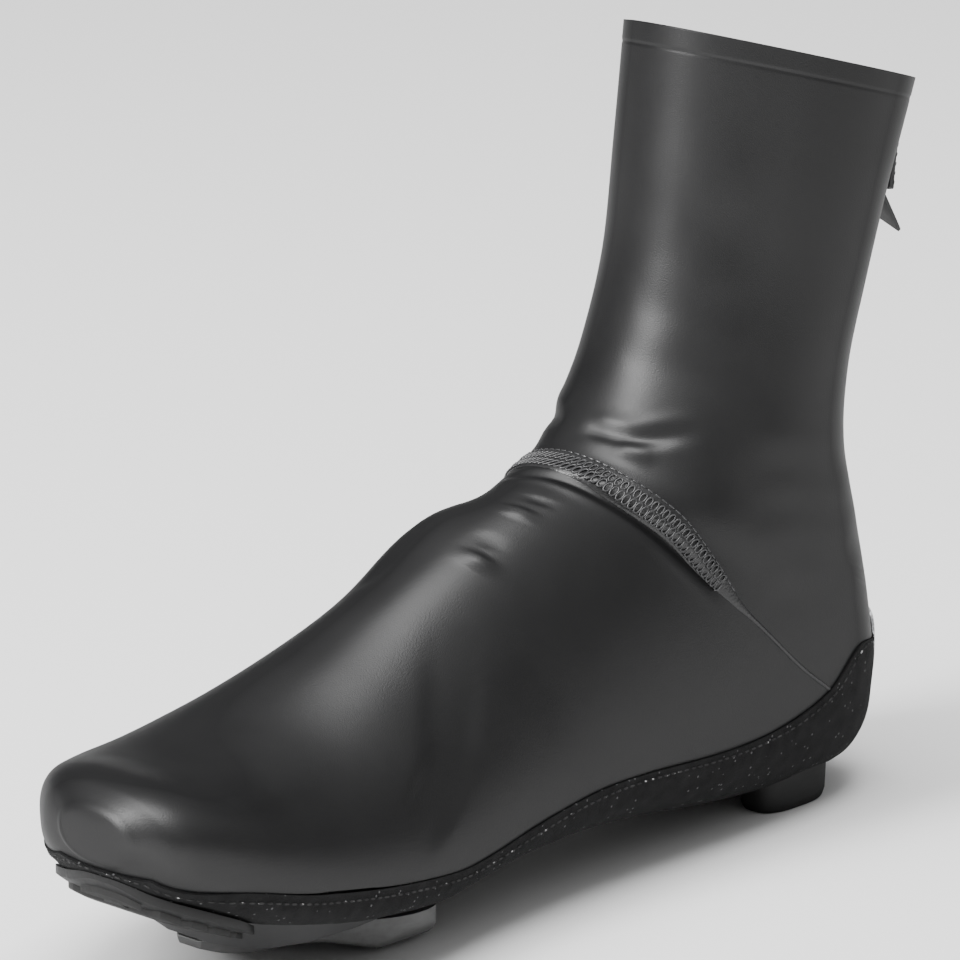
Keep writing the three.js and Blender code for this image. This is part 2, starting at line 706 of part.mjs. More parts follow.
// Reflective patch over the back of the heel, cut between two larger forms
function heelReflector() {
  const foot = backSpot(reflectorFootRow, 0, 0).z;
  const top = backSpot(reflectorTopRow, 0, 0).z;
  const corner = reflectorHalfWidth * 0.5;
  const outline = [
    [reflectorHalfWidth * 0.8, foot],
    [reflectorHalfWidth, top - corner],
    [reflectorHalfWidth - corner * 0.3, top - corner * 0.3],
    [reflectorHalfWidth - corner, top],
  ];
  const mirrored = outline.map(([x, z]) => [-x, z]).reverse();
  const patch = [...outline, ...mirrored].map(([x, z]) => new THREE.Vector2(x, z));
  const outer = form(bandRise + fitGap + reflectorThickness);
  return outer.subtract(form(bandRise + fitGap)).intersect(prism(patch, -farBack, 0, "front"));
}

const group = new THREE.Group();

function addPart(name, solid, { color, roughness = 0.8, metalness = 0 }, parent = group) {
  const material = new THREE.MeshStandardMaterial({ color, roughness, metalness });
  const mesh = new THREE.Mesh(geometryOf(solid), material);
  mesh.name = name;
  parent.add(mesh);
  return mesh;
}

const coatedFabric = { color: 0x2b2b2d, roughness: 0.45 };
const roughFabric = { color: 0x191919, roughness: 0.95 };
const blackRubber = { color: 0x1c1c1c, roughness: 0.85 };
const soleBlack = { color: 0x101012, roughness: 0.5 };
const cleatGrey = { color: 0xb4b4b2, roughness: 0.6 };
const steel = { color: 0x8f9092, roughness: 0.35, metalness: 1 };

addPart("upper", upper(), coatedFabric);
addPart("underfoot_band", underfootBand(), roughFabric);
addPart("instep_seam", instepSeam(), coatedFabric);
addPart("sole_plate", solePlate(), soleBlack);
addPart("insole", insole(), { color: 0x3a3a3c, roughness: 0.95 });
addPart("toe_plate", toePlate(), blackRubber);
addPart("heel_lug_inner", heelLug(1), blackRubber);
addPart("heel_lug_outer", heelLug(-1), blackRubber);

const cleat = cleatParts();
addPart("cleat_body", cleat.shell, cleatGrey);
addPart("cleat_nose_pad", cleat.pad, blackRubber);
boltPlaces.forEach((place, i) => addPart(`cleat_bolt_${i + 1}`, bolt(), steel).position.copy(place));

addPart("zip_tape", zipTape(), { color: 0x161616, roughness: 0.9 });
addPart("zip_chain", zipChain(), { color: 0x141414, roughness: 0.5 });
const sliderFrame = new THREE.Group();
sliderFrame.applyMatrix4(backFrame(sliderRow));
group.add(sliderFrame);
addPart("zip_slider", sliderBody(), { color: 0x202020, roughness: 0.4, metalness: 0.8 }, sliderFrame);
const pull = addPart("zip_pull", pullBody(), { color: 0x1a1a1a, roughness: 0.6 });
pull.position.set(0, hingeLift, 0).applyMatrix4(backFrame(sliderRow));
pull.rotation.x = THREE.MathUtils.degToRad(pullAngle);
addPart("zip_flap", zipFlap(), { color: 0x1e1e20, roughness: 0.7 });
addPart("heel_reflector", heelReflector(), { color: 0xb8babc, roughness: 0.35, metalness: 0.3 });

// The origin is the bottom centre of the whole
const bounds = new THREE.Box3().setFromObject(group);
const middle = bounds.getCenter(new THREE.Vector3());
group.position.set(-middle.x, -middle.y, -bounds.min.z);

export default group;
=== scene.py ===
import math

import bmesh
import bpy
import numpy as np
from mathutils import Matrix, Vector
from mathutils.bvhtree import BVHTree


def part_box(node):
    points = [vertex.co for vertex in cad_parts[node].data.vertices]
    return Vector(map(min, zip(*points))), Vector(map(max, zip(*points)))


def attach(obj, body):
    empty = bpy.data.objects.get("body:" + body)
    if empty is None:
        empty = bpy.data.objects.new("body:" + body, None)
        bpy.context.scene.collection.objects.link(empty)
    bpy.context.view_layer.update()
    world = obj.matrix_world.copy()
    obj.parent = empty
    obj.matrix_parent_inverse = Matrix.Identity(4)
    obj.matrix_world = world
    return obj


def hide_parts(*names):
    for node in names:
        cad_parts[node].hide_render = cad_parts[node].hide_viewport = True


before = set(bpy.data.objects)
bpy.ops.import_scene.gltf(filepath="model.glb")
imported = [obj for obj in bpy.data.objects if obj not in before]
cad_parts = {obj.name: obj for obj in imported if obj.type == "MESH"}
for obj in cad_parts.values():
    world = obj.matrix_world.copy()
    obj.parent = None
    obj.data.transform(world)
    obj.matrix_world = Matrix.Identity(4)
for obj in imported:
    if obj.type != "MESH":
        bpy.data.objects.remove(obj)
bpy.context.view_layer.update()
mm = 0.001

# Sizes of the shoe under the cover, the same as the solids follow
shoe = {
    "length": 280 * mm,
    "ballWidth": 99 * mm,
    "soleLift": 5.5 * mm,
    "instepHeight": 101 * mm,
    "collarHeight": 227.5 * mm,
    "toeSpring": 33 * mm,
    "archRise": 3 * mm,
    "dialHeight": 5.5 * mm,
    "wall": 1.6 * mm,
    "bandRise": 0.5 * mm,
}

# One row for each section of the last, collar first: frontAlong, frontUp, backAlong, backUp, centre, half,
# crest, widest, topPower, lowPower
sectionTable = np.array([
    [0.187, 1.886, -0.124, 1.675, 0.0, 0.344, 0.0, 0.5, 2.0, 2.0],
    [0.2, 1.64, -0.086, 1.455, 0.0, 0.334, 0.0, 0.5, 2.0, 2.0],
    [0.216, 1.392, -0.056, 1.254, 0.0, 0.324, 0.0, 0.5, 2.0, 2.0],
    [0.242, 1.196, -0.031, 1.063, 0.0, 0.329, 0.0, 0.48, 2.0, 2.0],
    [0.271, 1.08, -0.024, 0.88, 0.0, 0.341, 0.0, 0.47, 2.0, 2.1],
    [0.303, 1.012, -0.037, 0.66, 0.0, 0.352, 0.01, 0.5, 2.0, 2.3],
    [0.332, 0.987, -0.055, 0.42, 0.0, 0.359, 0.02, 0.5, 2.0, 2.4],
    [0.364, 0.971, -0.056, 0.2, 0.0, 0.36, 0.025, 0.55, 2.0, 2.6],
    [0.401, 0.949, -0.02, 0.03, 0.01, 0.355, 0.03, 0.58, 2.0, 2.8],
    [0.443, 0.914, 0.083, 0.004, 0.015, 0.352, 0.035, 0.62, 2.0, 3.0],
    [0.5, 0.857, 0.209, 0.016, 0.015, 0.355, 0.035, 0.66, 2.0, 3.0],
    [0.572, 0.77, 0.346, 0.05, 0.0, 0.378, 0.035, 0.7, 2.0, 3.2],
    [0.653, 0.668, 0.503, 0.078, -0.012, 0.42, 0.04, 0.72, 2.0, 3.4],
    [0.736, 0.566, 0.642, 0.074, -0.005, 0.465, 0.04, 0.72, 2.1, 3.6],
    [0.816, 0.5, 0.764, 0.066, 0.045, 0.447, 0.04, 0.7, 2.4, 3.6],
    [0.885, 0.472, 0.861, 0.055, 0.112, 0.394, 0.03, 0.66, 2.7, 3.4],
    [0.942, 0.465, 0.931, 0.058, 0.174, 0.306, 0.01, 0.6, 2.7, 3.0],
    [0.975, 0.43, 0.968, 0.08, 0.212, 0.23, 0.0, 0.54, 2.4, 2.6],
    [0.993, 0.365, 0.99, 0.14, 0.232, 0.135, 0.0, 0.5, 2.1, 2.2],
])
toeTip = {"along": 1.0, "up": 0.26, "centre": 0.238}
heelRow = 7
lastRow = len(sectionTable) - 1

# Top edge of the underfoot band: share of the length, rise over the underside as a share of the instep height
bandTable = np.array([
    [-0.056, 0.27],
    [0.02, 0.37],
    [0.082, 0.287],
    [0.16, 0.225],
    [0.27, 0.18],
    [0.414, 0.15],
    [0.561, 0.11],
    [0.682, 0.115],
    [0.807, 0.11],
    [0.9, 0.095],
    [0.978, 0.03],
])

# Middle of the instep seam: share of the length, height, half its width as a share of the ball width
seamTable = np.array([
    [0.36, 1.07, 0.056],
    [0.33, 0.995, 0.056],
    [0.314, 0.94, 0.054],
    [0.275, 0.83, 0.05],
    [0.246, 0.72, 0.04],
    [0.214, 0.61, 0.02],
    [0.186, 0.535, 0.012],
    [0.129, 0.39, 0.012],
    [0.09, 0.31, 0.012],
    [0.07, 0.27, 0.012],
])


def blendTable(table, column, t):
    t = np.asarray(t, float)
    i = np.clip(np.floor(t).astype(int), 0, len(table) - 2)
    f = t - i
    a, b, c, d = [table[np.clip(i + n, 0, len(table) - 1), column] for n in (-1, 0, 1, 2)]
    return 0.5 * (2 * b + (c - a) * f + (2 * a - 5 * b + 4 * c - d) * f**2 + (3 * b - a - 3 * c + d) * f**3)


underside = {"toeFrom": 0.6, "toePower": 1.7, "archAt": 0.38, "archReach": 0.25}


def heightAt(along, up):
    toeRamp = np.maximum(0, (along - underside["toeFrom"]) / (1 - underside["toeFrom"]))
    archRamp = np.maximum(0, 1 - np.abs(along - underside["archAt"]) / underside["archReach"])
    arch = shoe["archRise"] * archRamp**2 * (3 - 2 * archRamp)
    instepTop = shoe["soleLift"] + shoe["instepHeight"]
    spring = shoe["toeSpring"] * toeRamp ** underside["toePower"] + arch
    low = shoe["soleLift"] + up * shoe["instepHeight"] + spring * (1 - up)
    return np.where(up > 1, instepTop + (up - 1) * (shoe["collarHeight"] - instepTop), low)


def signedPower(value, power):
    return np.sign(value) * np.abs(value) ** power


denseRows = np.linspace(heelRow, lastRow, 1200)
denseAlong = blendTable(sectionTable, 2, denseRows)


# Height, centre and half width of the underside at a share of the length
def undersideAt(along):
    t = np.interp(along, denseAlong, denseRows)
    height = heightAt(blendTable(sectionTable, 2, t), blendTable(sectionTable, 3, t))
    return height, *[blendTable(sectionTable, k, t) * shoe["ballWidth"] for k in (4, 5)]


lug = {"length": 27 * mm, "width": 14 * mm, "spacing": 34 * mm, "along": 0.079, "foot": 1.04}
lugCentreX = (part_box("heel_lug_inner")[0].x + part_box("heel_lug_outer")[1].x) / 2
heelSeat = np.array([
    lugCentreX - float(undersideAt(lug["along"])[1]),
    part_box("upper")[0].y + toeTip["along"] * shoe["length"],
    0.0,
])


# Point of the outer form in metres: t counts sections from the collar, angle runs round from the front
def formPoint(t, angle):
    t, angle = np.broadcast_arrays(np.asarray(t, float), np.asarray(angle, float))
    values = [blendTable(sectionTable, k, t) for k in range(10)]
    frontAlong, frontUp, backAlong, backUp, centre, half, crest, widest, topPower, lowPower = values
    c, s = np.cos(angle), np.sin(angle)
    across = np.where(s >= 0, half - crest, half + crest)
    xTop = centre + crest + across * signedPower(s, 2 / topPower)
    xLow = centre + half * signedPower(s, 2 / lowPower)
    x = np.where(c >= 0, xTop, xLow)
    downTop = widest * (1 - signedPower(np.maximum(c, 0), 2 / topPower))
    downLow = widest + (1 - widest) * signedPower(np.maximum(-c, 0), 2 / lowPower)
    down = np.where(c >= 0, downTop, downLow)
    y = -shoe["length"] * (frontAlong + (backAlong - frontAlong) * down)
    frontHigh, backHigh = heightAt(frontAlong, frontUp), heightAt(backAlong, backUp)
    z = frontHigh + (backHigh - frontHigh) * down
    return np.stack([x * shoe["ballWidth"], y, z], -1) + heelSeat


def formNormal(t, angle):
    t, angle = np.broadcast_arrays(np.asarray(t, float), np.asarray(angle, float))
    step = 0.02
    low, high = np.maximum(0, t - step), np.minimum(lastRow, t + step)
    along = formPoint(high, angle) - formPoint(low, angle)
    around = formPoint(t, angle + step) - formPoint(t, angle - step)
    normal = np.cross(along, around)
    return normal / np.maximum(1e-12, np.linalg.norm(normal, axis=-1, keepdims=True))


# Bump of the lacing dial on the outer side
dial = {"row": 9.6, "rowReach": 1.1, "angle": -0.6, "angleReach": 0.4, "power": 2.6}


def coverPoint(t, angle, lift=0.0):
    t, angle = np.broadcast_arrays(np.asarray(t, float), np.asarray(angle, float))
    turned = (angle + np.pi) % (2 * np.pi) - np.pi
    reach = np.hypot((t - dial["row"]) / dial["rowReach"], (turned - dial["angle"]) / dial["angleReach"])
    rise = np.asarray(lift) + shoe["dialHeight"] * np.exp(-(reach ** dial["power"]))
    return formPoint(t, angle) + formNormal(t, angle) * np.broadcast_to(rise, t.shape)[..., None]


denseBand = np.linspace(0, len(bandTable) - 1, 300)
bandAlong = blendTable(bandTable, 0, denseBand)
bandHeight = undersideAt(bandAlong)[0] + blendTable(bandTable, 1, denseBand) * shoe["instepHeight"]


# Height over the top edge of the band, in the side view
def overBand(point):
    along = -(point[..., 1] - heelSeat[1]) / shoe["length"]
    return point[..., 2] - np.interp(along, bandAlong, bandHeight)


zipSlot = {"half": 7.3 * mm, "top": 0.06, "bottom": 5.75, "corner": 0.14}
halfTurn = np.linspace(0, np.pi, 721)


# Angle where a ring meets the band's edge, or half a turn where it doesn't
def bandLimit(t):
    above = overBand(coverPoint(t, halfTurn))
    below = np.nonzero(above < 0)[0]
    if len(below) == 0 or below[0] == 0:
        return np.pi
    k = below[0]
    share = above[k - 1] / (above[k - 1] - above[k])
    return halfTurn[k - 1] + share * (halfTurn[k] - halfTurn[k - 1])


# Angle of the zip slot's edge on a ring; the slot closes below in a rounded end
def slotLimit(t):
    if t >= zipSlot["bottom"]:
        return np.pi
    close = min(1, (zipSlot["bottom"] - t) / zipSlot["corner"])
    half = zipSlot["half"] * math.sqrt(1 - (1 - close) ** 2)
    x = formPoint(t, halfTurn)[:, 0] - heelSeat[0]
    late = halfTurn > np.pi / 2
    return float(np.interp(-half, -x[late], halfTurn[late]))


def runAlong(points):
    return np.concatenate([[0], np.cumsum(np.linalg.norm(np.diff(points, axis=0), axis=1))])


# Angles from low to high that share out the ring's length evenly, and the length up to each
def ringAngles(t, low, high, shares):
    dense = np.linspace(low, high, 600)
    run = runAlong(coverPoint(t, dense))
    if run[-1] < 1e-9:
        return np.full(len(shares), low), np.zeros(len(shares))
    return np.interp(shares * run[-1], run, dense), shares * run[-1]


# Creases of the cover. Spots are shares of the ball width, the length and the collar height; width, depth and
# ridge are in mm. A crease with a negative depth stands up.
creaseTable = [
    # name, spots, width, depth, ridge
    ("overSeam", [(-0.02, 0.288, 0.497), (0.05, 0.286, 0.49), (0.15, 0.271, 0.486), (0.26, 0.226, 0.493)],
     2.2, 1.0, 0.4),
    ("overSeamOuter", [(-0.1, 0.28, 0.492), (-0.22, 0.25, 0.478), (-0.3, 0.2, 0.47)], 2.6, 0.8, 0.3),
    ("facet", [(0.1, 0.284, 0.474), (0.19, 0.268, 0.463)], 3.2, -0.8, 0.0),
    ("tongueEdge", [(-0.12, 0.358, 0.446), (-0.02, 0.364, 0.449), (0.12, 0.343, 0.438), (0.23, 0.305, 0.4),
                    (0.31, 0.262, 0.346), (0.36, 0.23, 0.3)], 1.8, 0.9, 0.45),
    ("tongueEdgeOuter", [(-0.16, 0.35, 0.436), (-0.27, 0.3, 0.39), (-0.34, 0.25, 0.33)], 2.2, 0.7, 0.3),
    ("strapEnd", [(0.155, 0.497, 0.394), (0.135, 0.478, 0.404)], 4.2, -1.1, 0.0),
    ("strapEndDip", [(0.15, 0.474, 0.415), (0.11, 0.458, 0.424)], 3.4, 0.45, 0.0),
    ("laceEnd", [(0.12, 0.428, 0.43), (0.1, 0.412, 0.442)], 3.8, -0.5, 0.0),
    ("laceEndDip", [(0.13, 0.4, 0.447), (0.11, 0.39, 0.455)], 3.4, 0.35, 0.0),
    ("ankleFirst", [(0.34, 0.2, 0.446), (0.335, 0.14, 0.43), (0.32, 0.09, 0.41), (0.27, 0.02, 0.39)],
     4.6, 0.4, 0.15),
    ("ankleSecond", [(0.35, 0.2, 0.4), (0.35, 0.13, 0.382), (0.33, 0.06, 0.36), (0.27, 0.0, 0.34)],
     4.8, 0.55, 0.22),
    ("ankleThird", [(0.36, 0.19, 0.352), (0.36, 0.12, 0.332), (0.33, 0.05, 0.31), (0.26, -0.01, 0.3)],
     5.0, 0.5, 0.2),
    ("ankleFourth", [(0.36, 0.18, 0.296), (0.35, 0.11, 0.282), (0.31, 0.03, 0.272)], 5.2, 0.3, 0.1),
    ("outerAnkleFirst", [(-0.33, 0.21, 0.43), (-0.34, 0.13, 0.415), (-0.29, 0.03, 0.4)], 4.6, 0.6, 0.25),
    ("outerAnkleSecond", [(-0.35, 0.2, 0.375), (-0.35, 0.11, 0.36), (-0.29, 0.01, 0.345)],
     4.8, 0.7, 0.3),
    ("outerAnkleThird", [(-0.36, 0.18, 0.32), (-0.34, 0.09, 0.3)], 5.0, 0.4, 0.15),
    ("backFold", [(0.2, -0.02, 0.42), (0.12, -0.03, 0.41)], 3.0, 0.5, 0.2),
    ("backFoldOuter", [(-0.21, -0.02, 0.43), (-0.12, -0.03, 0.42)], 3.0, 0.5, 0.2),
    ("shaftRipple", [(0.0, 0.236, 0.62), (0.16, 0.21, 0.616), (0.26, 0.17, 0.61)], 5.0, 0.22, 0.1),
    ("shaftRippleLow", [(0.0, 0.25, 0.565), (0.18, 0.22, 0.56), (0.3, 0.15, 0.552)], 5.0, 0.28, 0.1),
    ("shaftRippleHigh", [(0.1, 0.21, 0.72), (0.26, 0.16, 0.71)], 6.0, 0.18, 0.1),
    ("dialFoot", [(-0.1, 0.56, 0.36), (-0.08, 0.5, 0.394), (-0.1, 0.45, 0.425)], 4.0, 0.8, 0.0),
    ("ballDent", [(0.4, 0.66, 0.23), (0.44, 0.62, 0.16)], 11.0, 0.9, 0.0),
    ("vampDent", [(0.3, 0.62, 0.29), (0.39, 0.55, 0.25)], 14.0, 0.8, 0.0),
]


crease = {"reach": 4, "fade": 3.3, "ridgeAt": 1.9, "ridgeWidth": 0.9, "overhang": 0.25,
          "wander": 0.1 * mm, "ripple": 0.05 * mm}


def spotPlace(across, along, high):
    sizes = np.array([shoe["ballWidth"], -shoe["length"], shoe["collarHeight"]])
    return heelSeat + np.array([across, along, high]) * sizes


def smoothPath(spots, steps):
    spots = np.array(spots, float)
    if len(spots) == 2:
        return spots[0] + (spots[1] - spots[0]) * np.linspace(0, 1, steps)[:, None]
    t = np.linspace(0, len(spots) - 1, steps)
    return np.stack([blendTable(spots, k, t) for k in range(3)], -1)


nearT, nearAngle = np.meshgrid(np.linspace(2, 16, 180), np.linspace(-np.pi, np.pi, 180), indexing="ij")
nearSpots = coverPoint(nearT, nearAngle).reshape(-1, 3)
nearNormals = formNormal(nearT, nearAngle).reshape(-1, 3)


# Moves the points of a path along the cover's normal until they lie on it
def ontoCover(path):
    k = np.linalg.norm(path[:, None] - nearSpots[None], axis=2).argmin(1)
    off = np.sum((nearSpots[k] - path) * nearNormals[k], axis=1)
    return path + nearNormals[k] * off[:, None]


# Squared distance from points to a path, where along it that is, and the height over it
def pathDistance(points, path):
    start, run = path[:-1], np.diff(path, axis=0)
    length = np.maximum(1e-15, np.sum(run * run, axis=1))
    share = np.clip(np.sum((points[:, None] - start) * run, axis=2) / length, 0, 1)
    foot = start + share[..., None] * run
    square = np.sum((points[:, None] - foot) ** 2, axis=2)
    k = square.argmin(1)
    row = np.arange(len(points))
    return square[row, k], (k + share[row, k]) / len(run), points[:, 2] - foot[row, k, 2]


creasePaths = [
    (ontoCover(smoothPath([spotPlace(*spot) for spot in spots], 26)), width * mm, depth * mm, ridge * mm)
    for _, spots, width, depth, ridge in creaseTable
]


# Rise of the cover over its form: troughs, the ridges beside them, and a slow wander all over
def creaseLift(points):
    flat = points.reshape(-1, 3)
    lift = np.zeros(len(flat))
    for path, width, depth, ridge in creasePaths:
        low, high = path.min(0) - crease["reach"] * width, path.max(0) + crease["reach"] * width
        near = np.nonzero(np.all((flat > low) & (flat < high), axis=1))[0]
        if len(near) == 0:
            continue
        square, share, height = pathDistance(flat[near], path)
        fade = np.clip(np.minimum(share, 1 - share) * crease["fade"], 0, 1)
        taper = fade * fade * (3 - 2 * fade)
        above = 1 - crease["overhang"] + crease["overhang"] * np.tanh(height / width)
        trough = -depth * np.exp(-square / width**2)
        beside = (np.sqrt(square) - crease["ridgeAt"] * width) / (crease["ridgeWidth"] * width)
        lift[near] += (trough + ridge * np.exp(-(beside**2)) * above) * taper
    x, y, z = [(flat[:, k] - heelSeat[k]) / mm for k in range(3)]
    lift += crease["wander"] * np.sin(x / 17 + z / 23 + 0.6) * np.sin(y / 29 - z / 19)
    lift += crease["ripple"] * np.sin(x / 7 - y / 11 + 1.3) * np.sin(z / 9 + y / 13)
    return lift.reshape(points.shape[:-1])


# Mesh helpers
def gridFaces(rows, columns, closed=False):
    across = columns if closed else columns - 1
    i, j = np.meshgrid(np.arange(rows - 1), np.arange(across), indexing="ij")
    a = (i * columns + j).ravel()
    b = (i * columns + (j + 1) % columns).ravel()
    return np.stack([a, a + columns, b + columns, b], 1)


def linkObject(name, data):
    piece = bpy.data.objects.new(name, data)
    bpy.context.scene.collection.objects.link(piece)
    return piece


def editMesh(mesh, change):
    work = bmesh.new()
    work.from_mesh(mesh)
    change(work)
    work.to_mesh(mesh)
    work.free()


def meshObject(name, points, faces, uv=None, weld=0.0):
    mesh = bpy.data.meshes.new(name)
    mesh.from_pydata([tuple(p) for p in points.reshape(-1, 3)], [], [list(map(int, f)) for f in faces])
    if uv is not None:
        layer = mesh.uv_layers.new(name="fabric")
        corners = np.zeros(len(mesh.loops), int)
        mesh.loops.foreach_get("vertex_index", corners)
        layer.data.foreach_set("uv", uv.reshape(-1, 2)[corners].ravel())

    def merge(work):
        bmesh.ops.remove_doubles(work, verts=work.verts, dist=weld)
        bmesh.ops.dissolve_degenerate(work, edges=work.edges, dist=weld / 10)

    if weld > 0:
        editMesh(mesh, merge)
    mesh.shade_smooth()
    return linkObject(name, mesh)


# The evaluated shape becomes the piece's own mesh
def bakeModifiers(piece):
    bpy.context.view_layer.update()
    shaped = bpy.data.meshes.new_from_object(piece.evaluated_get(bpy.context.evaluated_depsgraph_get()))
    piece.modifiers.clear()
    old = piece.data
    piece.data = shaped
    bpy.data.meshes.remove(old)


def paint(piece, materials):
    for material in materials:
        piece.data.materials.append(material)


def thicken(piece, thickness, innerSlot=0):
    solid = piece.modifiers.new("wall", "SOLIDIFY")
    solid.thickness = thickness
    solid.offset = -1
    solid.use_even_offset = False
    solid.material_offset = innerSlot


def softenEdges(piece, width, angle=50):
    bevel = piece.modifiers.new("softEdge", "BEVEL")
    bevel.width = width
    bevel.segments = 2
    bevel.limit_method = "ANGLE"
    bevel.angle_limit = math.radians(angle)
    bevel.use_clamp_overlap = True


def shadeByAngle(piece, degrees):
    def mark(work):
        for edge in work.edges:
            edge.smooth = len(edge.link_faces) == 2 and edge.calc_face_angle(0) < math.radians(degrees)

    for polygon in piece.data.polygons:
        polygon.use_smooth = True
    editMesh(piece.data, mark)


def finishPiece(piece, materials, nodes=(), body="overshoe"):
    piece.data.materials.clear()
    paint(piece, materials)
    if nodes:
        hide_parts(*nodes)
    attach(piece, body)
    return piece


def finishSolid(piece, bevel, angle, shade, material, nodes=(), body="overshoe"):
    if bevel:
        softenEdges(piece, bevel, angle)
    bakeModifiers(piece)
    shadeByAngle(piece, shade)
    return finishPiece(piece, [material], nodes, body)


# A solid between two grids of points with the same rows and columns
def closedSlab(name, first, second):
    rows, columns = first.shape[:2]
    count = rows * columns
    grid = gridFaces(rows, columns)
    faces = [list(f) for f in grid] + [[v + count for v in f[::-1]] for f in grid]
    rim = list(range(columns)) + [i * columns + columns - 1 for i in range(1, rows)]
    rim += [(rows - 1) * columns + j for j in range(columns - 2, -1, -1)]
    rim += [i * columns for i in range(rows - 2, 0, -1)]
    for k, a in enumerate(rim):
        b = rim[(k + 1) % len(rim)]
        faces.append([a, b, b + count, a + count])
    piece = meshObject(name, np.concatenate([first.reshape(-1, 3), second.reshape(-1, 3)]), faces)
    editMesh(piece.data, lambda work: bmesh.ops.recalc_face_normals(work, faces=work.faces))
    return piece


print("shapes ready")


# Nodes: a value given for an input is either a socket to link or a number to set
def feed(tree, socket, value):
    if isinstance(value, bpy.types.NodeSocket):
        tree.links.new(value, socket)
    else:
        socket.default_value = value


def addNode(tree, kind, settings=None, **values):
    node = tree.nodes.new(kind)
    for key, value in (settings or {}).items():
        setattr(node, key, value)
    for key, value in values.items():
        feed(tree, node.inputs[key.replace("_", " ")], value)
    return node


def mathNode(tree, operation, first, second):
    node = addNode(tree, "ShaderNodeMath", {"operation": operation})
    feed(tree, node.inputs[0], first)
    feed(tree, node.inputs[1], second)
    return node.outputs[0]


def newGroup(name, inputs, outputs):
    group = bpy.data.node_groups.new(name, "ShaderNodeTree")
    group.interface.new_socket(name="Vector", in_out="INPUT", socket_type="NodeSocketVector")
    for key, value in inputs.items():
        socket = group.interface.new_socket(name=key, in_out="INPUT", socket_type="NodeSocketFloat")
        socket.default_value = value
    for key in outputs:
        group.interface.new_socket(name=key, in_out="OUTPUT", socket_type="NodeSocketFloat")
    return group, group.nodes.new("NodeGroupInput").outputs, group.nodes.new("NodeGroupOutput").inputs


# Small cells of a coated knit, with a soft wander
def buildKnitGrain():
    group, given, result = newGroup("Knit Grain", {"Cells per Metre": 2200.0, "Wander": 60.0}, ["Height", "Mottle"])
    cells = addNode(group, "ShaderNodeTexVoronoi", {"feature": "SMOOTH_F1"}, Smoothness=0.6,
                    Vector=given["Vector"], Scale=given["Cells per Metre"])
    mottle = addNode(group, "ShaderNodeTexNoise", Detail=4.0, Vector=given["Vector"], Scale=given["Wander"])
    feed(group, result["Height"], mathNode(group, "SUBTRACT", 1.0, cells.outputs["Distance"]))
    feed(group, result["Mottle"], mottle.outputs["Fac"])
    return group


# Rough nap of a brushed fabric: fibres, pills and light specks
def buildNap():
    group, given, result = newGroup(
        "Fabric Nap", {"Fibre Scale": 1400.0, "Speck Scale": 900.0, "Speck Share": 0.12},
        ["Height", "Specks", "Mottle"])
    fibres = addNode(group, "ShaderNodeTexNoise", Detail=6.0, Roughness=0.75, Distortion=1.5,
                     Vector=given["Vector"], Scale=given["Fibre Scale"])
    pills = addNode(group, "ShaderNodeTexNoise", Detail=3.0, Scale=260.0, Vector=given["Vector"])
    feed(group, result["Height"], mathNode(group, "ADD", fibres.outputs["Fac"], pills.outputs["Fac"]))
    feed(group, result["Mottle"], pills.outputs["Fac"])
    specks = addNode(group, "ShaderNodeTexVoronoi", {"feature": "F1"},
                     Vector=given["Vector"], Scale=given["Speck Scale"])
    near = mathNode(group, "LESS_THAN", specks.outputs["Distance"], 0.3)
    chance = addNode(group, "ShaderNodeSeparateColor", Color=specks.outputs["Color"])
    picked = mathNode(group, "LESS_THAN", chance.outputs["Red"], given["Speck Share"])
    feed(group, result["Specks"], mathNode(group, "MULTIPLY", near, picked))
    return group


# Rubbed patches and short scratches
def buildScuff():
    group, given, result = newGroup("Scuff", {"Patch Scale": 90.0, "Amount": 0.5}, ["Mask", "Height"])
    patch = addNode(group, "ShaderNodeTexNoise", Detail=5.0, Roughness=0.65,
                    Vector=given["Vector"], Scale=given["Patch Scale"])
    stretched = addNode(group, "ShaderNodeMapping", Scale=(1.0, 0.12, 1.0), Vector=given["Vector"])
    lines = addNode(group, "ShaderNodeTexNoise", Scale=900.0, Detail=4.0, Vector=stretched.outputs["Vector"])
    rubbed = mathNode(group, "MULTIPLY", patch.outputs["Fac"], lines.outputs["Fac"])
    feed(group, result["Mask"], mathNode(group, "MULTIPLY", rubbed, given["Amount"]))
    feed(group, result["Height"], lines.outputs["Fac"])
    return group


knitGrain = buildKnitGrain()
fabricNap = buildNap()
scuff = buildScuff()


def startMaterial(name, roughness, metallic=0.0):
    material = bpy.data.materials.new(name)
    material.use_nodes = True
    tree = material.node_tree
    surface = tree.nodes["Principled BSDF"].inputs
    surface["Roughness"].default_value = roughness
    surface["Metallic"].default_value = metallic
    return material, tree, surface, addNode(tree, "ShaderNodeTexCoord").outputs["Object"]


def colourBetween(tree, factor, low, high, start=0.0, end=1.0):
    ramp = addNode(tree, "ShaderNodeValToRGB", Fac=factor)
    for k, (position, colour) in enumerate(((start, low), (end, high))):
        ramp.color_ramp.elements[k].position = position
        ramp.color_ramp.elements[k].color = (*colour, 1)
    return ramp.outputs["Color"]


def rangeBetween(tree, factor, ends, start=0.3, end=0.7):
    node = addNode(tree, "ShaderNodeMapRange", Value=factor, From_Min=start, From_Max=end,
                   To_Min=ends[0], To_Max=ends[1])
    return node.outputs["Result"]


def addBump(tree, surface, height, distance):
    bump = addNode(tree, "ShaderNodeBump", Distance=distance, Strength=1.0, Height=height)
    feed(tree, surface["Normal"], bump.outputs["Normal"])


# Less gloss where the surface turns away
def tameGloss(tree, surface, gloss, grazing, start, end):
    facing = addNode(tree, "ShaderNodeLayerWeight").outputs["Facing"]
    feed(tree, surface["Specular IOR Level"], rangeBetween(tree, facing, (gloss, grazing * gloss), start, end))


